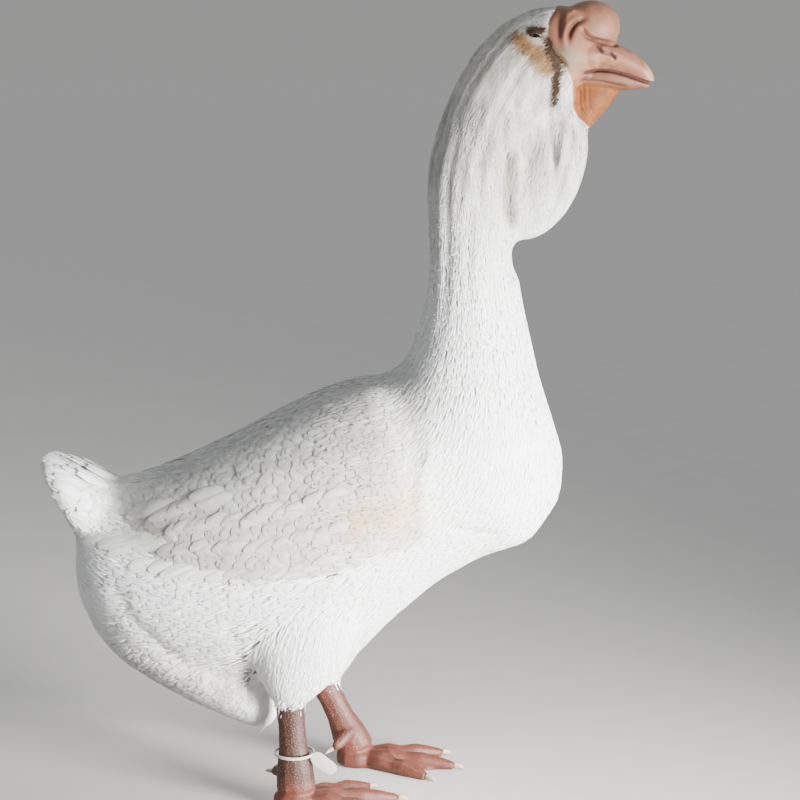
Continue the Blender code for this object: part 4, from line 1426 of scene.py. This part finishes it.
to_eye = from_an_eye(skin_points)
rim = np.exp(-(((almond(skin_points) - 1.0) / 0.5) ** 2))
other_masks = {
    "lid": rim * (np.abs(skin_points[:, 1]) > 0.02) * (to_eye < 0.016),
    "ring": 1 - smoothstep(to_eye, 0.014, 0.019),
    "leg": smoothstep(0.16 - high, 0, 0.01),
    "shank_shading": shank_shade(skin_points),
}
add_masks(skin.data, markings(skin_points) | face_masks | other_masks)
print("masks on the skin:", len(skin.data.attributes))

# %% [markdown]
# The tones go on from the widest to the narrowest, so that a fine line lies over a broad band of painted shade. Living
# skin lets light in, which makes it look much paler than its pigment: the base colours are dark and strong, and the
# shader's scattering does the rest. Pores and a net of wrinkles are bump, and the hollows are rougher than the waxy
# knob.

# %% Skin material
made = new_material("goose_skin")
blotch = speckle(9 * MM)
pores = speckle(1.1 * MM, detail=4.0)
patchy = blotch.between(0.3, 0.7)
object_place = Value.put("ShaderNodeTexCoord", out=3)
wrinkle = Value.put("ShaderNodeTexVoronoi", {"feature": "DISTANCE_TO_EDGE"}, Vector=object_place, Scale=330.0)
FACE_TONES = [
    # mask, strength, colour
    ("cheek", 0.8, (0.160, 0.072, 0.018)),
    ("nail", 0.8, (0.32, 0.19, 0.125)),
    ("temple", 0.7, (0.115, 0.045, 0.025)),
    # painted shade round the creases
    ("fold_shade", 0.7, (0.105, 0.034, 0.017)),
    ("pouch", 1.0, mixed(patchy, (0.112, 0.030, 0.003), (0.150, 0.043, 0.004))),
    ("jaw", 0.6, (0.105, 0.038, 0.022)),
    # painted shade in the creases
    ("crease_shade", 1.5, (0.055, 0.016, 0.009)),
    ("gape", 1.8, (0.045, 0.014, 0.009)),
    ("band", 1.2, (0.085, 0.028, 0.014)),
    # painted shade in the nostril's groove, darkest in its two openings
    ("nostril", 0.9, (0.105, 0.032, 0.018)),
    ("pit", 1.6, (0.03, 0.011, 0.008)),
]
peach = mixed(patchy, (0.175, 0.074, 0.043), (0.225, 0.102, 0.063))
for name, strength, tone in FACE_TONES:
    peach = mixed((mask(name) * strength).clamped(), peach, tone)
lids = mixed((mask("lid") * 1.3).clamped(), (0.25, 0.165, 0.11), (0.035, 0.018, 0.010))
covered = mixed(mask("ring"), (0.86, 0.83, 0.79), lids)
leg = mixed(patchy, (0.070, 0.019, 0.011), (0.105, 0.031, 0.019))
# Painted shade on the shanks, more on the right.
leg = mixed(mask("shank_shading"), leg, mixed(patchy, (0.016, 0.0075, 0.0045), (0.028, 0.013, 0.008)))
colour = mixed(mask("bare"), stained_and_shadowed(with_painted_shade(covered)), stained_and_shadowed(peach))
colour = mixed(mask("leg"), colour, leg)
height = pores * 0.12 + wrinkle.between(0.0, 0.12) * 0.25 + blotch * 0.2
bump = Value.put("ShaderNodeBump", Strength=0.6, Distance=0.5 * MM, Height=height)
hollow = (mask("gape") + mask("pit") + mask("nostril") * 0.6 + mask("crease_shade") * 0.6).clamped()
rough = 0.40 + 0.2 * pores + hollow * 0.4 + mask("pouch") * 0.2
finished({"Base_Color": colour, "Roughness": rough, "Normal": bump, "Specular_IOR_Level": 0.30,
          "Subsurface_Weight": 0.15, "Subsurface_Radius": (1.0, 0.4, 0.25), "Subsurface_Scale": 1.5 * MM})
skin.data.materials.append(made)
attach(skin, "root")
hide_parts(*[n for n in FLESH if n != "tail" and n not in WING_NODES])


# %% [markdown]
# ## Scales on the legs
# Small six-sided scales cover a goose's shanks and the tops of its toes and webs. One low cone stands for each, set
# by Geometry Nodes on points scattered over the legs. It is turned to the skin's normal, then to run down the leg, or
# out along the foot.

# %% Points for the scales
ankles = {hand: middle(f"shank_{letter}") for hand, letter in ((LEFT, "L"), (RIGHT, "R"))}
ankle = np.where(form[:, 1:2] > 0, ankles[LEFT][:2], ankles[RIGHT][:2])
outward = form[:, :2] - ankle
on_foot = form[:, 2] < 0.026
along_leg = np.where(on_foot[:, None], np.c_[outward, np.zeros(len(form))], [0.0, 0.0, -1.0])
scaly = is_leg & (form_normal[:, 2] > np.where(on_foot, -0.1, -2.0)) & (form[:, 2] > 2 * MM)
scale_spacing = np.where(on_foot, 2.4, 3.0) * MM
scale_roots = scattered(scaly, scale_spacing, seed=21)
scale_mesh = bpy.data.meshes.new("scale_roots")
scale_mesh.from_pydata((form[scale_roots] - form_normal[scale_roots] * 0.25 * MM).tolist(), [], [])
along, around = place_on_unwrap(form[scale_roots])
add_masks(scale_mesh, {"size": scale_spacing[scale_roots] / MM, "shank_shading": shank_shade(form[scale_roots])})
kept = {"up": form_normal[scale_roots], "down_leg": along_leg[scale_roots]}
kept["root"] = np.stack([along, around, 0 * along], 1)
for name, values in kept.items():
    layer = scale_mesh.attributes.new(name, "FLOAT_VECTOR", "POINT")
    layer.data.foreach_set("vector", values.astype(np.float32).ravel())
leg_scales = shown_mesh("leg_scales", scale_mesh)
print("leg scales:", len(scale_roots))

# %% [markdown]
# The scales are a little brighter than the skin between them, with the same painted shade on the shanks.

# %% Scale material
made = new_material("leg_scales")
age = speckle(4 * MM, detail=4.0)
colour = mixed(age.between(0.3, 0.7), (0.082, 0.022, 0.013), (0.120, 0.036, 0.023))
# Painted shade on the shanks, as on the skin.
colour = mixed(mask("shank_shading"), colour, mixed(age.between(0.3, 0.7), (0.019, 0.009, 0.0055), (0.034, 0.017, 0.011)))
bump = Value.put("ShaderNodeBump", Strength=0.4, Distance=0.15 * MM, Height=speckle(0.7 * MM))
finished({"Base_Color": colour, "Roughness": 0.44 + 0.2 * age, "Normal": bump})

# %% [markdown]
# The tree makes one cone, keeps each corner's flat place on it for the map, turns and sizes a copy at every point,
# and makes the copies real. Its sizes are inputs, so a longer or lower scale is one number away.

# %% The tree that sets the scales
SCALE_SIZES = {"Half width": 0.60 * MM, "Top share": 0.62, "Height": 0.12 * MM}
SCALE_SIZES |= {"Least size": 0.85, "Greatest size": 1.1}
tree = bpy.data.node_groups.new("scales_on_points", "GeometryNodeTree")
tree.interface.new_socket("Geometry", in_out="OUTPUT", socket_type="NodeSocketGeometry")
tree.interface.new_socket("Roots", in_out="INPUT", socket_type="NodeSocketGeometry")
sockets = {}
for name in SCALE_SIZES:
    sockets[name] = tree.interface.new_socket(name, in_out="INPUT", socket_type="NodeSocketFloat")
Value.tree = tree
given = tree.nodes.new("NodeGroupInput")
size_of = {name: Value(given.outputs[name]) for name in SCALE_SIZES}


def stored(name, kind="FLOAT"):
    return Value.put("GeometryNodeInputNamedAttribute", {"data_type": kind}, Name=name)


cone = Value.put(
    "GeometryNodeMeshCone", Vertices=6, Side_Segments=1, Fill_Segments=1, Depth=size_of["Height"],
    Radius_Top=size_of["Half width"] * size_of["Top share"], Radius_Bottom=size_of["Half width"],
)
flat = Value.put("GeometryNodeStoreNamedAttribute", {"data_type": "FLOAT_VECTOR", "domain": "POINT"}, Geometry=cone,
                 Name="flat", Value=Value.put("GeometryNodeInputPosition"))
upright = Value.put("FunctionNodeAlignRotationToVector", {"axis": "Z"}, Vector=stored("up", "FLOAT_VECTOR"))
turned = Value.put("FunctionNodeAlignRotationToVector", {"axis": "X", "pivot_axis": "Z"}, Rotation=upright,
                   Vector=stored("down_leg", "FLOAT_VECTOR"))
chance = Value.put("FunctionNodeRandomValue", {"data_type": "FLOAT"}, out=1, i2=size_of["Least size"],
                   i3=size_of["Greatest size"], Seed=5)
grow = Value.put("ShaderNodeVectorMath", {"operation": "SCALE"}, i0=(1.0, 0.92, 1.0), Scale=stored("size") * chance)
set_down = Value.put("GeometryNodeInstanceOnPoints", Points=Value(given.outputs["Roots"]), Instance=flat,
                     Rotation=turned, Scale=grow)
solid = Value.put("GeometryNodeRealizeInstances", Geometry=set_down)
Value.put("NodeGroupOutput", i0=Value.put("GeometryNodeSetMaterial", Geometry=solid, Material=made))
print("nodes in the tree:", len(tree.nodes))

# %% [markdown]
# The tree is run once and its mesh kept, because an exported model has no trees. Each scale then gets its patch on
# the same unrolled skin as the feathers.

# %% Run the tree and keep its mesh
setter = leg_scales.modifiers.new("scales", "NODES")
setter.node_group = tree
for name, value in SCALE_SIZES.items():
    setter[sockets[name].identifier] = value
grown_scales = bpy.data.meshes.new_from_object(leg_scales.evaluated_get(bpy.context.evaluated_depsgraph_get()))
leg_scales.modifiers.remove(setter)
leg_scales.data = grown_scales
values = {}
for name in ("root", "flat"):
    read = np.zeros(len(grown_scales.vertices) * 3, np.float32)
    grown_scales.attributes[name].data.foreach_get("vector", read)
    values[name] = read.reshape(-1, 3)[:, :2]
spot = values["root"] * (1 - 2 * PATCH) + PATCH + values["flat"] / (2 * SCALE_SIZES["Half width"]) * PATCH
while grown_scales.uv_layers:
    grown_scales.uv_layers.remove(grown_scales.uv_layers[0])
grown_scales.uv_layers.new(name="OFBake").data.foreach_set("uv", spot[loop_corners(grown_scales)].ravel())
grown_scales.shade_smooth()
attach(leg_scales, "root")
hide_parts(*LEG_NODES)
print("leg scales:", len(grown_scales.polygons), "faces")

# %% [markdown]
# ## Eyes
# A goose's eye is a dark brown ball with a black pupil, and a clear front that bulges a little. Only the slit between
# the lids shows, but the ball is whole. Its colours follow the angle from the line of sight, kept as an attribute.

# %% Eyeballs
PUPIL, IRIS = math.radians(22), math.radians(48)
BULGE = 0.5 * MM


def eyeball(hand):
    """A ball that looks outwards, a little forwards and up, with its front bulged."""
    centre = Vector((eye_centre.x, hand * abs(eye_centre.y), eye_centre.z))
    sight = Vector((0.16, hand, 0.10)).normalized()
    shape = bmesh.new()
    bmesh.ops.create_uvsphere(shape, u_segments=48, v_segments=32, radius=EYE_RADIUS)
    shape.transform(sight.to_track_quat("Z", "Y").to_matrix().to_4x4())
    angles = []
    for corner in shape.verts:
        angle = corner.co.angle(sight)
        angles.append(angle)
        corner.co *= 1 + BULGE / EYE_RADIUS * float(smoothstep(np.float64(IRIS - angle), 0, IRIS))
        corner.co += centre
    mesh = bpy.data.meshes.new("eyeball")
    shape.to_mesh(mesh)
    shape.free()
    add_masks(mesh, {"angle": angles})
    return shown_mesh(f"eyeball_{'L' if hand == LEFT else 'R'}", mesh)


made = new_material("wet_eye")
angle = mask("angle")
ring = speckle(1.2 * MM).between(0.3, 0.7)
colour = mixed(ring, (0.030, 0.013, 0.007), (0.062, 0.027, 0.012))
colour = mixed(angle.between(IRIS * 0.92, IRIS * 1.04), colour, (0.020, 0.012, 0.010))
colour = mixed(1 - angle.between(PUPIL * 0.94, PUPIL * 1.04), colour, (0.003, 0.003, 0.003))
finished({"Base_Color": colour, "Roughness": 0.2, "Specular_IOR_Level": 0.15})
for hand, node in ((LEFT, "eye_L"), (RIGHT, "eye_R")):
    ball = eyeball(hand)
    ball.data.materials.append(made)
    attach(ball, "root")
    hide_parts(node)
print("eyeballs:", round(2 * EYE_RADIUS / MM, 1), "mm across")

# %% [markdown]
# ## Claws
# The claws are horn caps on the toes. The solids give their size and place, and a subdivision rounds their facets.

# %% Round the claws
CLAW_NODES = [f"foot_{side}_claw_{toe}" for side in "LR" for toe in ("outer", "middle", "inner", "hind")]


def welded(name, nodes):
    """One mesh from welded copies of some solids."""
    mesh, whole = bpy.data.meshes.new(name), bmesh.new()
    for node in nodes:
        part = swollen(node, 0.0)
        part.to_mesh(mesh)
        part.free()
        whole.from_mesh(mesh)
    whole.to_mesh(mesh)
    whole.free()
    return shown_mesh(name, mesh)


claws = welded("claws", CLAW_NODES)
rounding = claws.modifiers.new("rounding", "SUBSURF")
rounding.levels = rounding.render_levels = 2
made = new_material("claw_horn")
streak = speckle(1.5 * MM, detail=4.0)
colour = mixed(streak.between(0.3, 0.7), (0.27, 0.17, 0.115), (0.42, 0.30, 0.21))
colour = mixed(speckle(5 * MM).between(0.45, 0.7) * 0.5, colour, (0.15, 0.09, 0.06))
bump = Value.put("ShaderNodeBump", Strength=0.3, Distance=0.2 * MM, Height=streak)
finished({"Base_Color": colour, "Roughness": 0.42, "Normal": bump})
claws.data.materials.append(made)
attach(claws, "root")
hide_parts(*CLAW_NODES)
print("claws:", len(CLAW_NODES))

# %% [markdown]
# ## The leg band and its tag
# Farm geese wear a loose plastic band with a small blank tag. Both keep their solids' shape, with rounded edges.

# %% Band and tag
made = new_material("band_plastic")
grime = speckle(3 * MM, detail=5.0)
colour = mixed(grime.between(0.45, 0.75) * 0.45, (0.36, 0.35, 0.32), (0.22, 0.18, 0.13))
bump = Value.put("ShaderNodeBump", Strength=0.2, Distance=0.1 * MM, Height=grime)
finished({"Base_Color": colour, "Roughness": 0.35 + 0.25 * grime, "Normal": bump})
for node in ("leg_band", "leg_tag"):
    piece = welded(f"{node}_rounded", [node])
    soft = piece.modifiers.new("rounded_edges", "BEVEL")
    soft.width, soft.segments, soft.angle_limit = 0.45 * MM, 3, math.radians(35)
    piece.data.materials.append(made)
    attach(piece, "root")
    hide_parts(node)
    print(piece.name, len(piece.data.vertices), "corners before rounding")

# %% [markdown]
# ## Floor, light and camera
# The goose stands on a plain pale floor, so wide that its edge is never seen.

# %% The floor
FLOOR_REACH = 60.0
FLOOR_CORNERS = [(-1, -1), (1, -1), (1, 1), (-1, 1)]
floor_mesh = bpy.data.meshes.new("floor")
floor_mesh.from_pydata([(x * FLOOR_REACH, y * FLOOR_REACH, 0) for x, y in FLOOR_CORNERS], [], [(0, 1, 2, 3)])
floor = bpy.data.objects.new("floor", floor_mesh)
bpy.context.scene.collection.objects.link(floor)
made = new_material("pale_floor")
colour = mixed(speckle(60 * MM, detail=6.0), (0.50, 0.485, 0.46), (0.56, 0.545, 0.52))
finished({"Base_Color": colour, "Roughness": 0.85})
floor_mesh.materials.append(made)

# %% [markdown]
# A white animal needs soft light with one clear side, or it goes flat: a broad key from the front and low down, where
# it fills the breast, a weak fill from behind, and a sky that is brighter and cooler above than at the horizon.

# %% Sky and lamps
SKY_LOW, SKY_HIGH = (0.52, 0.515, 0.51), (0.93, 0.97, 1.0)
SKY_STRENGTH = 0.66
LAMPS = {
    # place, aim, width, watts, colour, spread in degrees
    "key": ((1.25, -1.05, 0.32), (0.12, 0, 0.30), 0.7, 46, (1.0, 0.99, 0.975), 62),
    "fill": ((-1.9, -1.8, 1.4), (0, 0, 0.45), 1.8, 10, (0.94, 0.97, 1.0), 180),
}
world = bpy.data.worlds.new("studio")
world.use_nodes = True
world.node_tree.nodes.clear()
Value.tree = world.node_tree
upward = Value.put("ShaderNodeSeparateXYZ", out=2, Vector=Value.put("ShaderNodeTexCoord", out=0))
sky_colour = mixed(upward.between(0.0, 0.45), SKY_LOW, SKY_HIGH)
Value.put("ShaderNodeOutputWorld", Surface=Value.put("ShaderNodeBackground", Color=sky_colour, Strength=SKY_STRENGTH))
bpy.context.scene.world = world
for name, (place, aim, width, watts, tint, spread) in LAMPS.items():
    lamp = bpy.data.lights.new(name, "AREA")
    lamp.size, lamp.energy, lamp.color, lamp.spread = width, watts, tint, math.radians(spread)
    holder = bpy.data.objects.new(name, lamp)
    holder.location = place
    holder.rotation_euler = (Vector(aim) - Vector(place)).to_track_quat("-Z", "Y").to_euler()
    bpy.context.scene.collection.objects.link(holder)
print("lamps:", ", ".join(LAMPS))

# %% [markdown]
# The camera stands two metres to the goose's right at the height of its head and looks slightly down, as a person
# crouching beside it would.

# %% Camera
CAMERA_PLACE = (0.0645, -2.2, 0.85)
CAMERA_PITCH = math.radians(10.1)
lens = bpy.data.cameras.new("camera")
lens.lens = 88.92
camera = bpy.data.objects.new("camera", lens)
camera.location = CAMERA_PLACE
camera.rotation_euler = (math.pi / 2 - CAMERA_PITCH, 0, 0)
bpy.context.scene.collection.objects.link(camera)
bpy.context.scene.camera = camera
print("camera", round(-CAMERA_PLACE[1], 2), "m from the middle of the goose")
